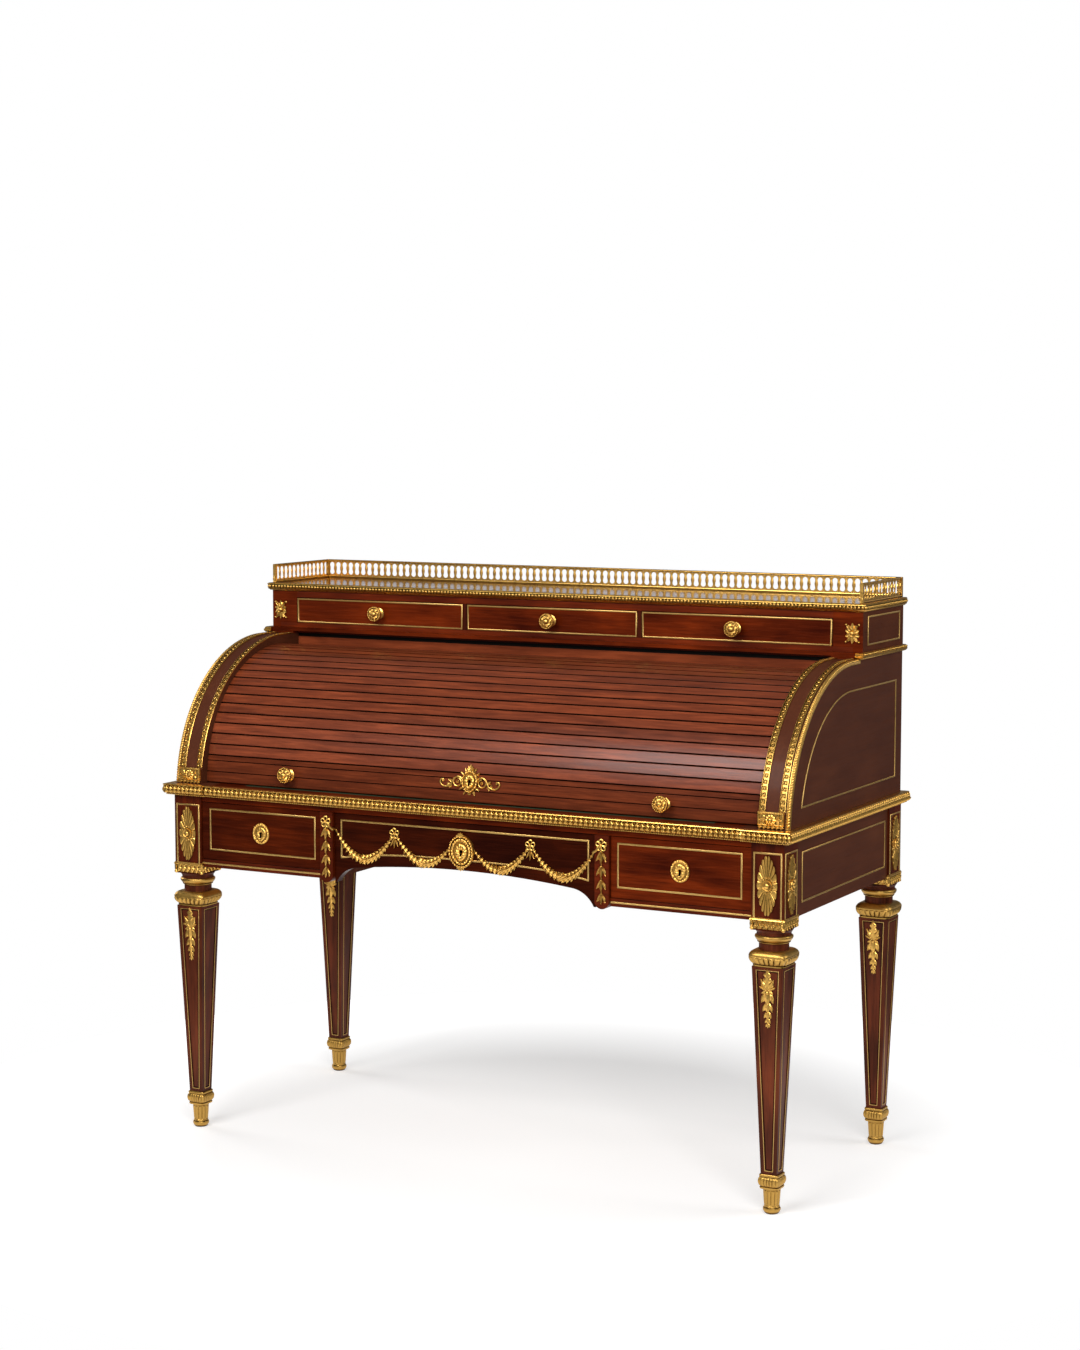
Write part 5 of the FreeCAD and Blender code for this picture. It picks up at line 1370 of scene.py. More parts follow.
class DESK_OT_garland(bpy.types.Operator):
    """Laurel swags, bows, keyhole medallion and lock of the middle drawer"""
    bl_idname = "desk.garland"
    bl_label = "Garland and medallion"

    def execute(self, context):
        pitch = size_of("laurel_pitch")
        knot_z = BOW_Z - SWAG_INSET
        inner = swag_path(0.44 * MEDALLION_W, KEY_Z + SWAG_START, BOW_X - SWAG_INSET, knot_z, SWAG_LOW)
        outer = swag_path(BOW_X + SWAG_INSET, knot_z, DRAWER_EDGE - SWAG_INSET, knot_z, SWAG_LOW - SWAG_INSET)
        places = with_twins(swag_places(inner, pitch) + swag_places(outer, pitch))
        repeated("laurel_swags", sprig(), places, "frieze_center", "frieze_lock_center")
        half = Casting()
        for path in (inner, outer):
            swell = np.sin(np.pi * np.linspace(0, 1, len(path)))
            half.add(ribbon(path, 1.2 + 2.2 * swell, 1.5 + 2.4 * swell), in_front(0, FACE, 0))
        half.add(bow(BOW_SIZE), in_front(BOW_X, FACE, BOW_Z))
        half.add(tassel(26.0, 9.0), in_front(BOW_X, FACE, BOW_Z - 6.0))
        made = half.paired()
        made.add(self.medallion(), in_front(0, FACE, KEY_Z))
        made.add(lock_case(0.0))
        gilt_piece(made, "medallion_and_bows", "frieze_center", "frieze_lock_center")
        frieze_keyhole("center", 0.0)
        return {"FINISHED"}

    def medallion(self):
        """An oval keyhole plate inside a lobed ring, with a knot of leaves above and below."""
        count, ring = 120, 6.5

        def relief(share, angle):
            return 1.0 + 7.0 * math.sin(math.pi * share) ** 0.6 * (0.62 + 0.38 * lobed(angle, 30))

        hole = oval(MEDALLION_W - 2 * ring, MEDALLION_H - 2 * ring, count)
        made = Casting().add(plate(MEDALLION_W, MEDALLION_H, relief, count=count, hole=hole))
        made.add(escutcheon(0.8 * MEDALLION_W, 0.83 * MEDALLION_H, rise=8.0, marks=22), place(z=0.4))
        for turn in (0, 180):
            for lean in (-62, -31, 0, 31, 62):
                y = 0.43 * MEDALLION_H * math.cos(math.radians(turn))
                made.add(leaf(10.0, 6.0, 3.0, 1.2), place(0, y, 4.8, spin=turn + lean))
        return made


# Mouldings

TABLE_BASE = ((0, 0.3), (9.0, 0.3), (11.8, 1.0), (12.8, 2.2), (12.4, 3.6), (13.4, 4.2), (16.2, 5.8),
              (18.6, 8.6), (19.4, 12.0), (19.0, 15.4), (17.2, 18.4), (15.4, 20.6), (15.2, 21.6),
              (18.0, 22.2), (18.8, 23.4), (18.2, 24.6), (16.8, 25.0), (0, 25.0))
LEAF_PROFILE = ((19.4, 20.8), (22.0, 18.4), (23.6, 15.2), (24.0, 12.0), (22.8, 8.4), (20.0, 5.6), (17.0, 4.2))
DROP_OUT, DROP_Z = 12.4, 2.4
CORNER_BREAK = 4.0
TIP_LONG, TIP_RISE, TIP_SUNK, TIP_PAST_CORNER = 20.5, 3.4, 0.7, 14.0
SLIDE_EDGE, SLIDE_GAP = span("slide_moulding")[1][0], 0.3
# Share of a pitch that keeps the first leaf of the case clear of the slide
SLIDE_WAY = 0.3
# How far a row of beads stops short of the end of its moulding
BEAD_STOP = 2.0


def leaf_tip(inset, pitch):
    """One leaf tip of the table moulding, bent over the swelling, with X along the moulding."""
    rise, back = TIP_RISE, 2.4
    profile = [(d - rise - inset - TIP_SUNK, z) for d, z in LEAF_PROFILE]
    part = Casting().add(leaf(TIP_LONG, 0.98 * pitch, rise, lobes=3, rib=-0.6, rows=19, cols=8, back=back))
    part.add(leaf(10.0, 0.3 * pitch, 0.75 * rise, rib=0.3, rows=8, back=back), place(0.5 * pitch, 10.0))
    part.add(leaf(6.0, 0.3 * pitch, 0.8 * rise, rib=0.3, rows=6, back=back), place(0.5 * pitch))
    return Casting().add(Casting().add(bent(part, profile)).mirrored(1, -1, 1))


class DESK_OT_table_moulding(bpy.types.Operator):
    """Leaf moulding of the table and of the writing slide"""
    bl_idname = "desk.table_moulding"
    bl_label = "Table moulding"

    def execute(self, context):
        pitch, beads = size_of("leaf_pitch"), (size_of("bead"), size_of("bead_pitch"))
        base = [(d, TABLE_UNDER + z) for d, z in TABLE_BASE]
        edge = SLIDE_EDGE + SLIDE_GAP
        right = Casting().add(run(base, [(edge, FRONT), (HALF, FRONT), (HALF, BACK)]))
        gilt_piece(right.paired(), "table_edge", "case", "table_moulding")
        slide_base = [(max(0.0, d - CORNER_BREAK), z) for d, z in base]
        slide = Casting().add(run(slide_base, [(-SLIDE_EDGE, FRONT), (SLIDE_EDGE, FRONT)]))
        gilt_piece(slide, "slide_edge", "slide", "slide_moulding")
        tips = []
        for s, way in ((1, RIGHT), (-1, LEFT)):
            ways = spaced(FRONT - TIP_PAST_CORNER, BACK, pitch)
            tips += [place(s * HALF, y, TABLE_UNDER, UP, way, spin=180) for y in ways]
        for x in spaced(edge + SLIDE_WAY * pitch, HALF + TIP_PAST_CORNER, pitch):
            tips += [place(s * x, FRONT, TABLE_UNDER) for s in (-1, 1)]
        repeated("table_leaf_tips", leaf_tip(0.0, pitch), tips, "case", "table_moulding")
        tips = [place(x, FRONT, TABLE_UNDER) for x in spaced(-SLIDE_EDGE, SLIDE_EDGE, pitch)]
        repeated("slide_leaf_tips", leaf_tip(CORNER_BREAK, pitch), tips, "slide", "slide_moulding")
        out, z = DROP_OUT, TABLE_UNDER + DROP_Z
        line = [(edge, FRONT - out, z), (HALF + out, FRONT - out, z), (HALF + out, BACK - BEAD_STOP, z)]
        beaded("table_drops", both_sides(line), *beads, "case", "table_moulding")
        out -= CORNER_BREAK
        line = [(s * (SLIDE_EDGE - BEAD_STOP), FRONT - out, z) for s in (-1, 1)]
        beaded("slide_drops", [line], *beads, "slide", "slide_moulding")
        return {"FINISHED"}


TOP_BASE = ((0, 0.2), (4.0, 0.2), (5.0, 2.0), (7.6, 3.2), (8.6, 5.2), (7.0, 6.2), (6.6, 9.6), (7.0, 13.0),
            (9.4, 13.6), (8.6, 15.6), (6.5, 17.0), (0, 17.0))
TOP_BEAD_OUT, TOP_BEAD_Z, TOP_BEAD, TOP_BEAD_PITCH = 7.4, 9.6, 7.4, 8.2
WAIST_RETURN = 10.0
WAIST_BASE = ((0, 0.2), (2.5, 0.2), (6.0, 2.0), (8.6, 5.0), (8.8, 8.0), (6.6, 10.0), (6.8, 12.2),
              (4.0, 14.0), (0, 14.0))
WAIST_BEAD_OUT, WAIST_BEAD_Z, WAIST_BEAD, WAIST_BEAD_PITCH = 7.0, 10.6, 5.0, 7.0


class DESK_OT_upper_mouldings(bpy.types.Operator):
    """Beaded moulding of the top board and the waist mouldings of its base"""
    bl_idname = "desk.upper_mouldings"
    bl_label = "Upper mouldings"

    def execute(self, context):
        section = [(d, TOP_UNDER + z) for d, z in TOP_BASE]
        u_path = [(-UPPER_HALF, CASE_BACK), (-UPPER_HALF, UPPER_FRONT), (UPPER_HALF, UPPER_FRONT),
                  (UPPER_HALF, CASE_BACK)]
        gilt_piece(Casting().add(run(section, u_path)), "top_edge", "case", "top_moulding")
        x, y, z = UPPER_HALF + TOP_BEAD_OUT, UPPER_FRONT - TOP_BEAD_OUT, TOP_UNDER + TOP_BEAD_Z
        end = CASE_BACK - BEAD_STOP
        line = [(-x, end, z), (-x, y, z), (x, y, z), (x, end, z)]
        beaded("top_beads", [line], TOP_BEAD, TOP_BEAD_PITCH, "case", "top_moulding")
        base_half = span("upper_base")[1][0]
        section = [(d, SIDE_TOP + z) for d, z in WAIST_BASE]
        path = [(base_half - WAIST_RETURN, BASE_FRONT), (base_half, BASE_FRONT), (base_half, CASE_BACK)]
        right = Casting().add(run(section, path))
        gilt_piece(right.paired(), "waist_edge", "case", "waist_mouldings")
        x, z = base_half + WAIST_BEAD_OUT, SIDE_TOP + WAIST_BEAD_Z
        line = [(x, BASE_FRONT + BEAD_STOP, z), (x, end, z)]
        beaded("waist_beads", both_sides(line), WAIST_BEAD, WAIST_BEAD_PITCH, "case", "waist_mouldings")
        return {"FINISHED"}


# Curved bands of the cylinder sides

STRIP_W, STRIP_T, DOT_PITCH, DOT_LIFT = 13.5, 2.5, 13.0, 0.8
BLOCK_W = 56.0
BEAD_OUT, BEAD_DROP, BEAD_FOOT = span("curve_strips")[1][0], 8.0, 0.5
ROSETTE_FOOT, ROSETTE_H, ROSETTE_OUT = 2.0, 33.0, 3.0
FLOWER_IN = 23.0
ROPE_GAP, ROPE_PITCH, ROPE_IN, ROPE_SUNK, ROPE_FOOT = 2.6, 5.6, 5.2, 0.8, 5.0


def band_path(radius, low_z):
    """Points (y, z, slope) up the round edge of a side, then back along its top to the base board."""
    low = math.asin((low_z - TABLE_UNDER) / radius)
    path = []
    for a in np.linspace(low, math.pi / 2, 44):
        path.append((SIDE_Y - radius * math.cos(a), TABLE_UNDER + radius * math.sin(a), a))
    path.append((BASE_FRONT, TABLE_UNDER + radius, math.pi / 2))
    return path


def band(section, radius, low_z):
    """A strip along the round edge; section is a loop of (x, height off the edge)."""
    loops = []
    for y, z, a in band_path(radius, low_z):
        loops.append([(x, y - d * math.cos(a), z + d * math.sin(a)) for x, d in section])
    return skin(loops)


def along_band(x, radius, low_z, pitch, off):
    """Places along the round edge, facing out."""
    path = np.array(band_path(radius, low_z))
    reach = travel(path[:, :2])
    places = []
    for s in spaced(0.0, reach[-1], pitch):
        y, z, a = (np.interp(s, reach, column) for column in path.T)
        out = (0, -math.cos(a), math.sin(a))
        places.append(place(x, y + off * out[1], z + off * out[2], out, (0, math.sin(a), math.cos(a))))
    return places


class DESK_OT_curve_strips(bpy.types.Operator):
    """Gilt strips and bead of the round edges"""
    bl_idname = "desk.curve_strips"
    bl_label = "Curved strips"

    def execute(self, context):
        low = TABLE_Z + ROSETTE_FOOT + ROSETTE_H
        made, dots = Casting(), []
        half, t = STRIP_W / 2, STRIP_T
        rim = [(-half, -0.3), (-half, t - 0.5), (0.6 - half, t), (1.4 - half, t), (1.8 - half, 0.2)]
        for x in (SIDE_IN + half, SIDE_IN + BLOCK_W - half):
            made.add(band([(x + d, rise) for d, rise in symmetric(rim)], SIDE_R, low))
            dots += along_band(x, SIDE_R, low, DOT_PITCH, DOT_LIFT)
        inner, edge = SIDE_IN + BLOCK_W + ROPE_GAP, BEAD_OUT - 1.2
        corner = [(inner, -0.3), (inner, 0.6), (edge - 4.0, 0.4), (edge - 1.6, -1.0), (edge - 0.8, -3.0),
                  (edge - 0.8, -BEAD_DROP), (SIDE_OUT - 0.3, -BEAD_DROP), (SIDE_OUT - 0.3, -0.3)]
        made.add(band(corner, SIDE_R, TABLE_Z + BEAD_FOOT))
        gilt_piece(made.paired(), "curve_bands", "case", "curve_strips")
        repeated("curve_dots", self.dot(), with_twins(dots), "case", "curve_strips")
        rope = along_band(BEAD_OUT - ROPE_IN, SIDE_R - ROPE_SUNK, TABLE_Z + ROPE_FOOT, ROPE_PITCH, 0.0)
        repeated("curve_rope", self.twist(), with_twins(rope), "case", "curve_strips")
        return {"FINISHED"}

    def dot(self):
        """A small cup of the strips' pattern."""
        return Casting().add(turned([(4.3, -0.6), (4.3, 1.0), (3.6, 1.7), (2.8, 1.4), (2.3, -0.5)], 16))

    def twist(self):
        """One strand of the corner rope, laid aslant across the edge."""
        loops = [level(oval(5.4 * w, 5.4 * w, 10), z)
                 for w, z in ((0.3, -5.6), (0.8, -3.9), (1.0, -1.4), (1.0, 1.4), (0.8, 3.9), (0.3, 5.6))]
        return Casting().add(skin(loops), place(out=(1.0, 1.25, 0), up=UP))


def foot_rosette():
    """Rosette block at the foot of a band: framed ground, round rosette, corner leaves and a frill below."""
    made = Casting()
    w, h = BLOCK_W, ROSETTE_H
    made.add(slab(-w / 2, w / 2, -h / 2 + 5, h / 2, -4.0, 1.6))
    inset = 2.4
    made.add(line_loop(boxed(inset - w / 2, w / 2 - inset, 7 - h / 2, h / 2 - inset), 4.0, 2.2), place(z=1.4))
    made.add(rosette(24.0, 5.0, 10), place(z=1.4))
    for sx in (-1, 1):
        for lean, long in ((35, 15.0), (90, 15.0), (140, 13.0)):
            made.add(leaf(long, 8.0, 2.6, 0.8, lobes=2), place(sx * 11.0, 1.0, 1.6, spin=-sx * lean))
    made.add(leaf_frill(6, 9.2, 11.0, 10.0, 2.4), place(0, -h / 2 + 8.0, 0.8))
    return made


class DESK_OT_corner_rosettes(bpy.types.Operator):
    """Rosette blocks at the feet of the bands and rosettes of the upper corners"""
    bl_idname = "desk.corner_rosettes"
    bl_label = "Corner rosettes"

    def execute(self, context):
        x = SIDE_IN + BLOCK_W / 2
        z = TABLE_Z + ROSETTE_FOOT + ROSETTE_H / 2
        made = Casting().add(foot_rosette(), in_front(x, span("side_panel_right")[0][1] - ROSETTE_OUT, z))
        z = (sum(span("upper_drawer_right")) / 2)[2]
        made.add(self.corner_flower(), in_front(UPPER_HALF - FLOWER_IN, UPPER_FRONT, z))
        gilt_piece(made.paired(), "band_rosettes", "case", "corner_rosettes")
        return {"FINISHED"}

    def corner_flower(self):
        """An upright oval flower: ten petals, four leaves with buds across the corners and a boss."""
        half_w, half_h, bud, petals = 16.5, 22.0, 23.0, 10
        made = Casting()
        for a in turns(petals):
            x, y = half_w * math.sin(a), half_h * math.cos(a)
            made.add(leaf(math.hypot(x, y), 10.0, 3.8, 0.8, rib=-0.4),
                     place(spin=-math.degrees(math.atan2(x, y))))
        for lean in (38, 142, 218, 322):
            a = math.radians(lean)
            made.add(leaf(0.93 * bud, 9.0, 4.2, 1.0, lobes=2, rows=10), place(z=0.4, spin=-lean))
            made.add(bead(2.8), place(bud * math.sin(a), bud * math.cos(a), 0.8))
        eye = ((7.4, 0), (7.4, 3.4), (6.2, 4.8), (5.2, 4.4), (4.6, 5.6), (2.6, 7.0), (0.6, 7.4))
        return made.add(turned(eye, 24))


# Roll

KNOB_BEADS, KNOB_PETALS = 22, 10
ROLL_KNOB_X, ROLL_KNOB_ANGLE, ROLL_KEY_ANGLE = 450.0, 6.0, 9.15
ROLL_LOCK_LOW, ROLL_LOCK_HIGH = ROLL_Z + 13.0, ROLL_Z + 43.0


def knob():
    """A gilt knob along +Z: rose, neck and a head whose face is a flower in a ring of petals."""
    profile = ((13.0, -1.5), (13.5, 0.4), (13.3, 2.0), (11.0, 3.2), (8.0, 4.6), (6.8, 7.5), (6.8, 11.0),
               (9.5, 14.0), (14.5, 16.0), (17.0, 18.0), (17.5, 20.0), (17.2, 21.8), (16.0, 23.0),
               (14.6, 23.2), (13.4, 22.2), (12.6, 22.4), (11.0, 24.0), (8.6, 25.0), (7.4, 25.0),
               (6.6, 24.4), (6.0, 25.6), (4.6, 27.4), (2.4, 28.4), (0.5, 28.6))
    made = Casting().add(turned(profile, 56))
    for x, y in polar(15.4, turns(KNOB_BEADS)):
        made.add(bead(1.9), place(x, y, 22.6))
    for where in around(KNOB_PETALS, 6.6, 24.0):
        made.add(leaf(6.4, 5.4, 1.6, rib=-0.6, rows=6), where)
    return made


def on_roll(casting, angle):
    """Wraps a casting that was made flat round the roll at an angle up from the front."""
    x, up, off = casting.points.T
    turn = math.radians(angle) + up / ROLL_R
    radius = ROLL_R + off
    points = np.column_stack([x, ROLL_Y - radius * np.cos(turn), ROLL_Z + radius * np.sin(turn)])
    return Casting().add((points, casting.faces))


class DESK_OT_knobs(bpy.types.Operator):
    """Knobs of the roll and of the upper drawers"""
    bl_idname = "desk.knobs"
    bl_label = "Knobs"

    def execute(self, context):
        angle = math.radians(ROLL_KNOB_ANGLE)
        out = (0, -math.cos(angle), math.sin(angle))
        made = Casting()
        for x in (-ROLL_KNOB_X, ROLL_KNOB_X):
            made.add(knob(), place(x, ROLL_Y + ROLL_R * out[1], ROLL_Z + ROLL_R * out[2], out, UP))
        gilt_piece(made, "roll_pulls", "roll", "roll_knobs")
        for side in SIDES:
            middle = sum(span("upper_knob_" + side)) / 2
            made = Casting().add(knob(), in_front(middle[0], UPPER_FRONT, middle[2]))
            gilt_piece(made, "upper_pull_" + side, "upper_" + side, "upper_knob_" + side)
        return {"FINISHED"}


class DESK_OT_roll_mount(bpy.types.Operator):
    """Keyhole mount of the roll: shield, palmette, scrolls and tendrils"""
    bl_idname = "desk.roll_mount"
    bl_label = "Roll keyhole mount"

    def execute(self, context):
        made = Casting().add(escutcheon(39.0, 49.0, rise=6.5, marks=20), place(z=1.0))
        for lean in (-75, -50, -25, 0, 25, 50, 75):
            long = 15.0 - 0.08 * abs(lean)
            made.add(leaf(long, 5.0, 3.0, 1.4), place(0, 21.0, 1.4, spin=lean))
        made.add(bead(3.0), place(0, 22.0, 3.4))
        rim_leaves = ((30, 9.0, 20.0), (55, 15.0, 14.0), (80, 18.5, 6.0), (120, 16.0, -13.0),
                      (150, 9.0, -20.0))
        for sx in (-1, 1):
            for lean, x, y in rim_leaves:
                made.add(leaf(9.5, 7.0, 2.6, 1.0, lobes=1), place(sx * x, y, 0.8, spin=-sx * lean))
        for lean in (-160, 180, 160):
            made.add(leaf(8.0, 6.0, 2.4, 0.8), place(0, -20.0, 1.0, spin=lean))
        made.add(self.scrolls().paired())
        back = span("roll_lock")[1][1]
        case = slab(-LOCK_HALF, LOCK_HALF, back - LOCK_T, back, ROLL_LOCK_LOW, ROLL_LOCK_HIGH)
        whole = on_roll(made, ROLL_KEY_ANGLE).add(case)
        gilt_piece(whole, "roll_escutcheon", "roll", "roll_lock")
        # A near-black slab in the roll's keyhole: painted shadow
        hole = on_roll(Casting().add(keyhole(), place(z=0.6)), ROLL_KEY_ANGLE)
        gilt_piece(hole, "keyhole_roll", "roll", paint="keyhole")
        return {"FINISHED"}

    def scrolls(self):
        """A C scroll with a bud and a tendril that curls up, to the right of the shield."""
        middle = (29.0, -2.0)
        s = np.linspace(0, 1, 30)
        coil = polar(11.5 - 4.5 * s, np.radians(150 - 420 * s)) + middle
        made = Casting().add(ribbon(coil, 2.4 - 0.8 * s, 4.0 - 1.0 * s))
        made.add(rosette(8.0, 4.0, 6), place(*middle, 0.4))
        tendril = smooth_path([
            (37, 6), (42, -3), (47, -10), (56, -13), (66, -11), (71, -4), (68, 2), (63, 0.5), (64, -3.5)])
        w = np.linspace(0, 1, len(tendril))
        made.add(ribbon(tendril, 2.7 - 1.0 * w, 4.0 - 1.2 * w))
        made.add(bead(2.6), place(65.0, -1.0, 1.5))
        for x, y, lean, long in ((42, -3, -60, 11.0), (44, -7, -160, 10.0), (50, -12, -20, 9.0)):
            made.add(leaf(long, 6.0, 2.6, 1.0), place(x, y, 1.0, spin=lean))
        return made


class DESK_OT_roll_canvas(bpy.types.Operator):
    """Linen that backs the slats"""
    bl_idname = "desk.roll_canvas"
    bl_label = "Roll canvas"

    def execute(self, context):
        half, thick = span("roll_canvas")[1][0], CANVAS_T
        rows = np.linspace(SLAT_FIRST, SLAT_LAST, 60)
        outer = CANVAS_OUT - CANVAS_GAP
        section = [(outer, -half), (outer, half), (outer - thick, half), (outer - thick, -half)]
        loops = [[(x, ROLL_Y - r * math.cos(a), ROLL_Z + r * math.sin(a)) for r, x in section] for a in rows]
        made = Casting().add(skin(loops))
        mesh = mesh_of(made, "slat_canvas", PAINTS["canvas"])
        spread = mesh.uv_layers.new(name="cloth")
        for loop in mesh.loops:
            x, y, z = mesh.vertices[loop.vertex_index].co
            turn = math.atan2(z - ROLL_Z * MM, ROLL_Y * MM - y)
            spread.data[loop.index].uv = (x, turn * outer * MM)
        piece = dress(link("slat_canvas", mesh), "roll", "canvas", "roll_canvas")
        return {"FINISHED"}


TOOLING_LINES, TOOLING_RISE = ((12.0, 1.6), (20.0, 0.9)), 0.12


class DESK_OT_leather(bpy.types.Operator):
    """Writing leather with a tooled gilt border"""
    bl_idname = "desk.leather"
    bl_label = "Writing leather"

    def execute(self, context):
        low, high = span("slide_leather")
        made = Casting().add(slab(low[0], high[0], low[1], high[1], low[2] + 0.2, high[2], 0.3))
        mesh = mesh_of(made, "writing_leather", PAINTS["leather"])
        piece = dress(link("writing_leather", mesh), "slide", "leather", "slide_leather")
        tooling = Casting()
        for inset, width in TOOLING_LINES:
            corners = boxed(low[0] + inset, high[0] - inset, low[1] + inset, high[1] - inset)
            tooling.add(line_loop(corners, width, TOOLING_RISE), place(z=high[2]))
        gilt_piece(tooling, "leather_tooling", "slide", paint="brass_line")
        return {"FINISHED"}


# Gallery

FOOT_RAIL, TOP_RAIL, PIERCED_T = 5.0, 4.0, 1.6
GALLERY_IN = 1.5
END_POST_HALF, END_POST_BACK, POST_CLEAR = 3.6, 3.5, 3.0
HOLE_BULGE, HOLE_WAIST, HOLE_HALF, HOLE_BULGE_AT = 6.1, 4.6, 14.4, 0.6


class DESK_OT_gallery(bpy.types.Operator):
    """Pierced gallery: rails, a pierced strip with pointed bosses and end plates"""
    bl_idname = "desk.gallery"
    bl_label = "Gallery"

    def execute(self, context):
        side_x = span("gallery_sides")[1][0] - GALLERY_IN
        back_y = span("gallery_back")[1][1] - GALLERY_IN
        path = [(-side_x, UPPER_FRONT), (-side_x, back_y), (side_x, back_y), (side_x, UPPER_FRONT)]
        foot = symmetric([(-2.2, 0.0), (-2.2, 1.4), (-3.0, 2.2), (-3.2, 3.4), (-2.4, FOOT_RAIL)])
        top = symmetric([(-1.8, 0.0), (-2.6, 1.0), (-2.6, 2.2), (-1.6, 3.5)], (0.0, TOP_RAIL))
        made = Casting().add(run([(d, TOP_Z + z) for d, z in foot], path))
        made.add(run([(d, GALLERY_TOP - TOP_RAIL + z) for d, z in top], path))
        for x in (-side_x, side_x):
            for y in (UPPER_FRONT + END_POST_BACK, back_y):
                half = END_POST_HALF
                made.add(slab(x - half, x + half, y - half, y + half, TOP_Z, GALLERY_TOP - 0.2))
            made.add(leaf(15.0, 9.0, 2.0, 1.5, lobes=2), place(x, UPPER_FRONT, TOP_Z + 1.0, FORWARD, UP))
        gilt_piece(made, "gallery_rails", "case", "gallery_back", "gallery_sides")
        low, high = TOP_Z + FOOT_RAIL - 0.5, GALLERY_TOP - TOP_RAIL + 0.5
        middle = (low + high) / 2
        pitch = size_of("baluster_pitch")
        back = spaced(POST_CLEAR - side_x, side_x - POST_CLEAR, pitch)
        flank = spaced(UPPER_FRONT + 2 * POST_CLEAR, back_y - POST_CLEAR, pitch)
        cells = [in_front(x, back_y, middle) for x in back]
        cells += [place(s * side_x, y, middle, RIGHT, UP) for y in flank for s in (-1, 1)]
        repeated("gallery_piercing", self.cell(back[1] - back[0], high - low), cells, "case", "gallery_back",
                 "gallery_sides")
        half = (back[1] - back[0]) / 2
        bosses = []
        for out in (FORWARD, BACKWARD):
            bosses += [place(x + half, back_y + out[1] * PIERCED_T / 2, middle, out, UP) for x in back[:-1]]
        half = (flank[1] - flank[0]) / 2
        for out in (LEFT, RIGHT):
            bosses += [place(s * side_x + out[0] * PIERCED_T / 2, y + half, middle, out, UP)
                       for y in flank[:-1] for s in (-1, 1)]
        repeated("gallery_bosses", self.lens(), bosses, "case", "gallery_back", "gallery_sides")
        return {"FINISHED"}

    def cell(self, wide, tall):
        """One cell of the strip with a waisted opening in its middle."""
        a = turns(48)
        c, s = np.abs(np.cos(a)), np.abs(np.sin(a))
        square = np.minimum(wide / 2 / np.maximum(c, TINY), tall / 2 / np.maximum(s, TINY))
        y = np.linspace(0, 1, 60)
        bulge = np.sin(np.pi / 2 * np.minimum(1, y / HOLE_BULGE_AT)) ** 2
        outline = HOLE_WAIST + (HOLE_BULGE - HOLE_WAIST) * bulge
        end = np.maximum(0, (y - HOLE_BULGE_AT) / (1 - HOLE_BULGE_AT))
        outline = outline * np.sqrt(np.maximum(0, 1 - end ** 2))
        reach = np.hypot(outline, y * HOLE_HALF)
        hole = np.interp(np.arctan2(s, c), np.arctan2(y * HOLE_HALF, np.maximum(outline, TINY)), reach)
        t, ease = PIERCED_T / 2, 0.4
        rim = [(square, -t), (square, t), (hole + ease, t), (hole, t - ease), (hole, ease - t),
               (hole + ease, -t)]
        return Casting().add(skin([level(polar(r, a), z) for r, z in rim], ring=True))

    def lens(self):
        """A pointed oval boss between two openings."""
        tall, wide, rise = 24.0, 6.4, 0.8
        s = np.linspace(0.02, 0.98, 9)
        half = wide / 2 * np.sin(np.pi * s) ** 1.2
        path = np.column_stack([np.zeros(9), tall * (s - 0.5)])
        return Casting().add(ribbon(path, half, rise * np.sin(np.pi * s), 0.3))


# Brass lines

SIDE_DRAWER_INSETS = {"stile": 16.0, "post": 21.0, "low": 22.0, "high": 13.5}
ARCH_HALF, ARCH_CROWN, ARCH_CORNER, ARCH_TOP = 296.0, 662.0, 644.0, 725.0
POST_LINE_HALF, POST_LINE_LOW, POST_LINE_HIGH = 29.0, POST_Z + BORDER_H - 2.0, TABLE_UNDER - 21.0
RAIL_LINE_Z, RAIL_LINE_IN, RAIL_LINE_OUT = 603.5, STILE_X + 17.0, HALF - POST_SIDE - 1.0
FRIEZE_LINE_FRONT, FRIEZE_LINE_BACK, FRIEZE_LINE_LOW, FRIEZE_LINE_TOP = 31.0, 17.0, 27.0, 31.0
SIDE_LINE_R, SIDE_LINE_FOOT, SIDE_LINE_BACK = 269.0, 814.0, 283.0
END_LINE_FRONT, END_LINE_BACK, END_LINE_LOW, END_LINE_HIGH = 29.0, 23.0, 1110.0, 1168.0


def panel_line(made, corners, where, closed=True):
    """Adds a brass line along flat corners, set in place."""
    made.add(line_loop(corners, size_of("line_width"), size_of("line_rise"), closed), where)


def line_piece(name, body, corners, where):
    """A brass line along flat corners as a piece of its own."""
    made = Casting()
    panel_line(made, corners, where)
    gilt_piece(made, name, body, paint="brass_line")


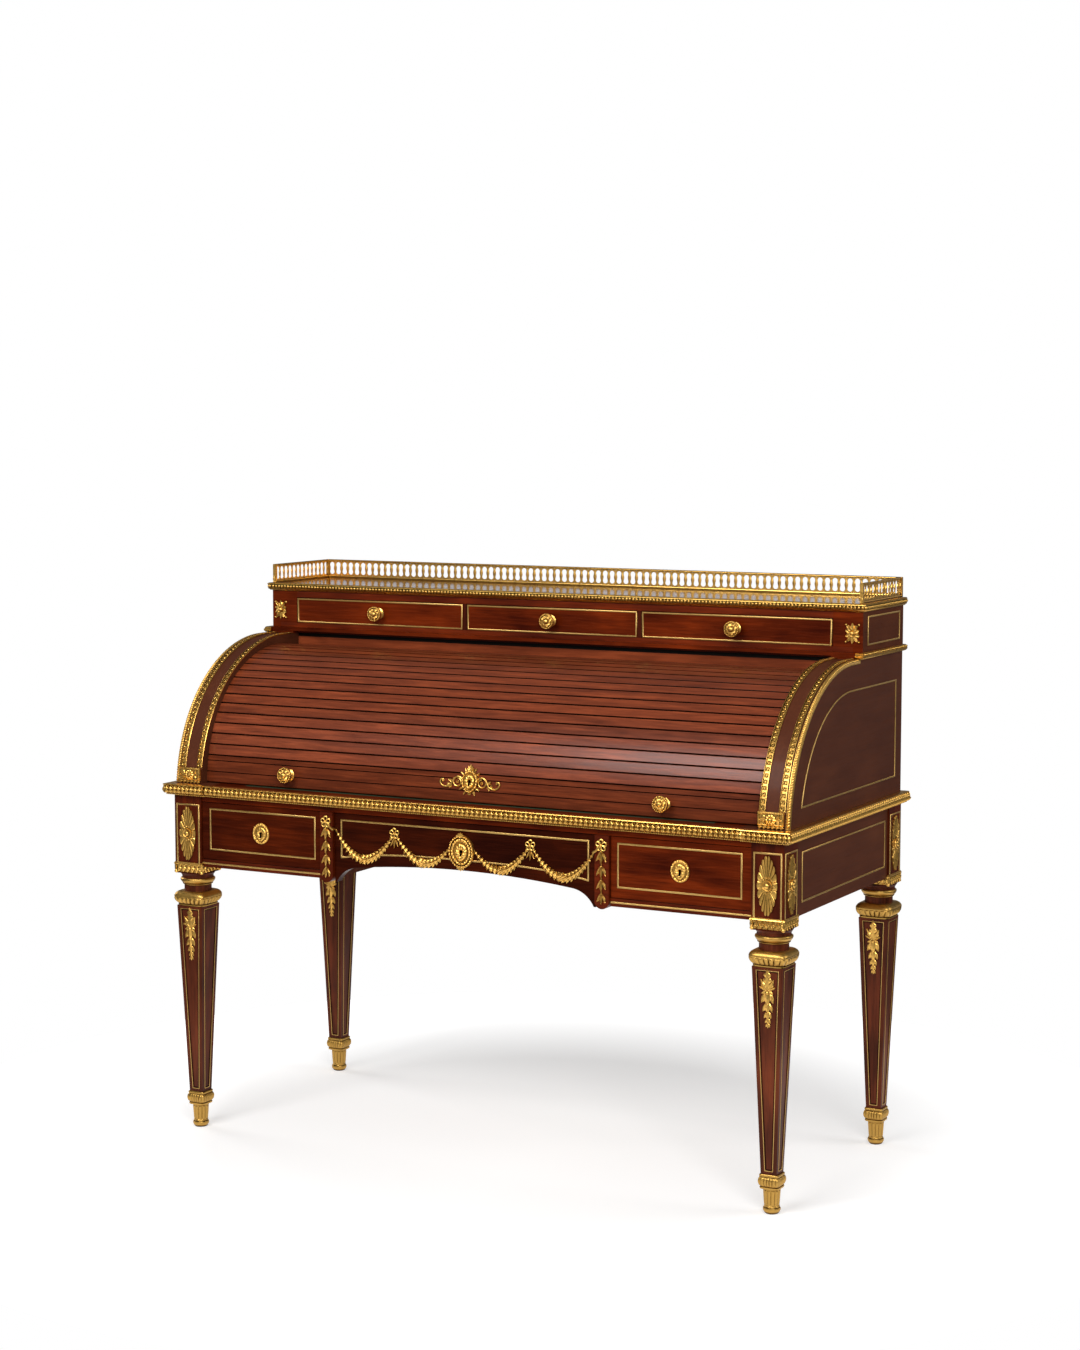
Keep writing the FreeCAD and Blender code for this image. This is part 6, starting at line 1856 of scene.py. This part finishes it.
class DESK_OT_brass_lines(bpy.types.Operator):
    """Brass lines of the drawers, posts, sides and legs, and dark lines inside the legs' brass lines, painted
    shadow of the sunk panels' edges
    """
    bl_idname = "desk.brass_lines"
    bl_label = "Brass lines"

    def execute(self, context):
        self.frieze()
        self.upper()
        made = Casting()
        self.posts(made)
        self.flanks(made)
        gilt_piece(made, "case_lines", "case", paint="brass_line")
        lines = self.legs(LEG_PANEL_MARGIN, LEG_LINE_W, LEG_LINE_RISE)
        # The leg lines take the shaded copy of the brass
        gilt_piece(lines, "leg_lines", "case", paint="leg_line")
        # Dark lines set in the sunk panels inside the brass lines: painted shadow
        groove_shadows = self.legs(LEG_PANEL_MARGIN + GROOVE_SHADOW_IN, GROOVE_SHADOW_W, GROOVE_SHADOW_RISE, LEG_PANEL_DEPTH)
        dress(link("leg_strings", mesh_of(groove_shadows, "leg_strings", PAINTS["stringing"])), "case", "mahogany")
        return {"FINISHED"}

    def frieze(self):
        """Lines of the three frieze drawers."""
        front = in_front(0, FACE, 0)
        low, high = span("frieze_drawer_right")
        inset = SIDE_DRAWER_INSETS
        for side, sign in (("left", -1), ("right", 1)):
            x0, x1 = sorted((sign * (low[0] + inset["stile"]), sign * (high[0] - inset["post"])))
            corners = boxed(x0, x1, low[2] + inset["low"], high[2] - inset["high"])
            line_piece("drawer_line_" + side, "frieze_" + side, corners, front)
        arch = [(x, ARCH_CROWN - (ARCH_CROWN - ARCH_CORNER) * abs(x / ARCH_HALF) ** 3)
                for x in np.linspace(-ARCH_HALF, ARCH_HALF, 41)]
        corners = arch + [(ARCH_HALF, ARCH_TOP), (-ARCH_HALF, ARCH_TOP)]
        line_piece("drawer_line_center", "frieze_center", corners, front)

    def upper(self):
        """Lines round the three upper drawers."""
        edge = size_of("line_width") / 2 + CLEAR
        for side in SIDES:
            low, high = span("upper_drawer_" + side)
            corners = boxed(low[0] + edge, high[0] - edge, low[2] + edge, high[2] - edge)
            line_piece("upper_line_" + side, "upper_" + side, corners, in_front(0, UPPER_FRONT, 0))

    def posts(self, made):
        """Lines on the posts and along the lower front rails."""
        for where in post_faces(0):
            panel_line(made, boxed(-POST_LINE_HALF, POST_LINE_HALF, POST_LINE_LOW, POST_LINE_HIGH), where)
        for s in (-1, 1):
            ends = [(s * x, RAIL_LINE_Z) for x in (RAIL_LINE_IN, RAIL_LINE_OUT)]
            panel_line(made, ends, in_front(0, FACE, 0), closed=False)

    def flanks(self, made):
        """Lines of the side rails, the cylinder sides and the ends of the upper case."""
        low, high = span("side_rails")
        frieze = boxed(low[1] + FRIEZE_LINE_FRONT, high[1] - FRIEZE_LINE_BACK,
                       low[2] + FRIEZE_LINE_LOW, TABLE_UNDER - FRIEZE_LINE_TOP)
        start = math.degrees(math.asin((SIDE_LINE_FOOT - TABLE_UNDER) / SIDE_LINE_R))
        sweep = arc(SIDE_Y, TABLE_UNDER, SIDE_LINE_R, 90, 180 - start, 30)
        side = [(SIDE_LINE_BACK, SIDE_LINE_FOOT), (SIDE_LINE_BACK, TABLE_UNDER + SIDE_LINE_R), *sweep]
        upper = boxed(UPPER_FRONT + END_LINE_FRONT, CASE_BACK - END_LINE_BACK, END_LINE_LOW, END_LINE_HIGH)
        for x, shape in ((high[0], frieze), (SIDE_OUT, side), (UPPER_HALF, upper)):
            panel_line(made, shape, place(x, 0, 0, RIGHT, UP))
            panel_line(made, [(-u, v) for u, v in shape], place(-x, 0, 0, LEFT, UP))

    def legs(self, margin, width, rise, sunk=0.0):
        """A tapering line on each face of each leg, a margin in from the face's edges and sunk below it."""
        end = LEG_PANEL_END + margin - LEG_PANEL_MARGIN
        low, high = SABOT_TOP + end, LEG_TOP - end
        foot, head = leg_width(low) / 2, leg_width(high) / 2
        lean = (head - foot) / (high - low)
        tall = math.hypot(high - low, head - foot)
        w0, w1 = foot - margin, head - margin
        shape = [(-w0, 0), (w0, 0), (w1, tall), (-w1, tall)]
        line = line_loop(shape, width, rise)
        made = Casting()
        for x, y in LEG_AXES:
            for out in (FORWARD, RIGHT, LEFT, BACKWARD):
                face = foot - sunk
                made.add(line, place(x + face * out[0], y + face * out[1], low, (out[0], out[1], -lean), UP))
        return made


# Stage

STAGE_MIDDLE = (0.0, 0.0, 0.75)
# Soft boxes: place, size and power
LIGHTS = {
    "key": ((-0.45, -3.0, 2.95), (1.9, 1.2), 80.0),
    "fill": ((3.2, -4.0, 3.0), (2.0, 2.0), 126.0),
    "side": ((3.8, 1.0, 2.2), (1.8, 1.8), 34.0),
    "rim": ((-4.0, 0.6, 1.8), (1.6, 2.0), 40.0),
}
FLOOR_REACH, FLOOR_THICK = 1450.0, 10.0
# Distances from the middle between which the floor's glow grows to full, in metres
FLOOR_FADE = (0.7, 1.35)
# Tones of the sky: all round, low in front, overhead and the band behind the desk
SKY_DIM, SKY_FRONT, SKY_OVERHEAD, SKY_BAND = 0.11, 0.34, 0.26, 0.8
# Ranges of the sky's direction over which one tone fades into the next
BAND_TOP, BAND_SIDES, OVERHEAD_EDGE = (0.085, 0.115), (0.35, 0.75), (0.7, 0.95)
FRONT_SIDES, FRONT_TOP = (-0.95, -0.35), (0.15, 0.6)


def aimed(data, spot, target):
    """A lamp or camera set at a spot, facing a target."""
    made = link(data.name, data)
    made.location = spot
    made.rotation_euler = (Vector(target) - Vector(spot)).to_track_quat("-Z", "Y").to_euler()
    return made


class DESK_OT_stage(bpy.types.Operator):
    """Pale floor, soft studio lights and the camera"""
    bl_idname = "desk.stage"
    bl_label = "Stage"

    def execute(self, context):
        stage = context.scene.desk_stage
        self.floor(stage)
        self.sky()
        for name, (spot, size, power) in LIGHTS.items():
            self.light(name, spot, size, power)
        view = bpy.data.cameras.new("camera")
        view.lens = stage.camera_lens
        context.scene.camera = aimed(view, stage.camera_place, stage.camera_target)
        context.scene.view_settings.view_transform = "Standard"
        return {"FINISHED"}

    def floor(self, stage):
        """A pale disc that glows more towards its edge, so that it runs out into the white behind it."""
        disc = turned([(FLOOR_REACH, -FLOOR_THICK), (FLOOR_REACH, 0.0)], 96)
        tree, shader = new_paint("floor")
        away = tree_node(tree, "ShaderNodeVectorMath", {0: object_place(tree)}, operation="LENGTH")
        feed(tree, shader, {
            "Base Color": (*stage.floor_tone, 1.0),
            "Roughness": 0.9,
            "Specular IOR Level": 0.05,
            "Emission Color": grey(1.0),
            "Emission Strength": ranged(tree, away.outputs["Value"], stage.floor_glow, 1.0, *FLOOR_FADE)})
        link("floor", mesh_of(Casting().add(disc), "floor", PAINTS["floor"]))

    def sky(self):
        """Dim all round, with a bright band low behind the desk for its top to mirror, and seen as white."""
        world = bpy.data.worlds.new("studio")
        world.use_nodes = True
        bpy.context.scene.world = world
        tree = world.node_tree
        parts = axes(tree, tree_node(tree, "ShaderNodeTexCoord").outputs["Generated"])
        low = ranged(tree, parts["Z"], 1.0, 0.0, *BAND_TOP)
        back = math_node(tree, "MULTIPLY", low, ranged(tree, parts["Y"], 0.0, 1.0, *BAND_SIDES))
        above = math_node(tree, "MULTIPLY", back, math_node(tree, "GREATER_THAN", parts["Z"], 0.0))
        ahead = ranged(tree, parts["Y"], 1.0, 0.0, *FRONT_SIDES)
        near = math_node(tree, "MULTIPLY", ahead, ranged(tree, parts["Z"], 1.0, 0.0, *FRONT_TOP))
        tone = mixed(tree, near, grey(SKY_DIM), grey(SKY_FRONT))
        overhead = ranged(tree, parts["Z"], 0.0, 1.0, *OVERHEAD_EDGE)
        tone = mixed(tree, overhead, tone, grey(SKY_OVERHEAD))
        tone = mixed(tree, above, tone, grey(SKY_BAND))
        seen = tree_node(tree, "ShaderNodeLightPath").outputs["Is Camera Ray"]
        feed(tree, tree.nodes["Background"], {"Color": mixed(tree, seen, tone, grey(1.0))})

    def light(self, name, spot, size, power):
        """A soft box that faces the desk."""
        lamp = bpy.data.lights.new(name, "AREA")
        lamp.shape = "RECTANGLE"
        lamp.size, lamp.size_y = size
        lamp.energy = power
        aimed(lamp, spot, STAGE_MIDDLE)


# Panel and start

STEPS = (
    DESK_OT_woods, DESK_OT_sabots, DESK_OT_collars, DESK_OT_borders, DESK_OT_pateras, DESK_OT_husks,
    DESK_OT_stile_drops, DESK_OT_escutcheons, DESK_OT_garland, DESK_OT_table_moulding,
    DESK_OT_upper_mouldings, DESK_OT_curve_strips, DESK_OT_corner_rosettes, DESK_OT_knobs,
    DESK_OT_roll_mount, DESK_OT_roll_canvas, DESK_OT_leather, DESK_OT_gallery, DESK_OT_brass_lines,
    DESK_OT_stage,
)
SETTINGS = {"desk_finishes": DeskFinishes, "desk_mounts": DeskMounts, "desk_stage": DeskStage}


class DESK_PT_dressing(bpy.types.Panel):
    """Settings and steps of the desk's dressing"""
    bl_idname = "DESK_PT_dressing"
    bl_label = "Cylinder desk"
    bl_space_type = "VIEW_3D"
    bl_region_type = "UI"
    bl_category = "Desk"

    def draw(self, context):
        for name in SETTINGS:
            group = getattr(context.scene, name)
            box = self.layout.box()
            for key in group.__annotations__:
                box.prop(group, key)
        for step in STEPS:
            self.layout.operator(step.bl_idname)


CLASSES = (*SETTINGS.values(), *STEPS, DESK_PT_dressing)


def register():
    for made in CLASSES:
        bpy.utils.register_class(made)
    for name, group in SETTINGS.items():
        setattr(bpy.types.Scene, name, bpy.props.PointerProperty(type=group))


def unregister():
    for name in SETTINGS:
        delattr(bpy.types.Scene, name)
    for made in reversed(CLASSES):
        bpy.utils.unregister_class(made)


def main():
    register()
    for step in STEPS:
        group, name = step.bl_idname.split(".")
        getattr(getattr(bpy.ops, group), name)()


if __name__ == "__main__":
    main()
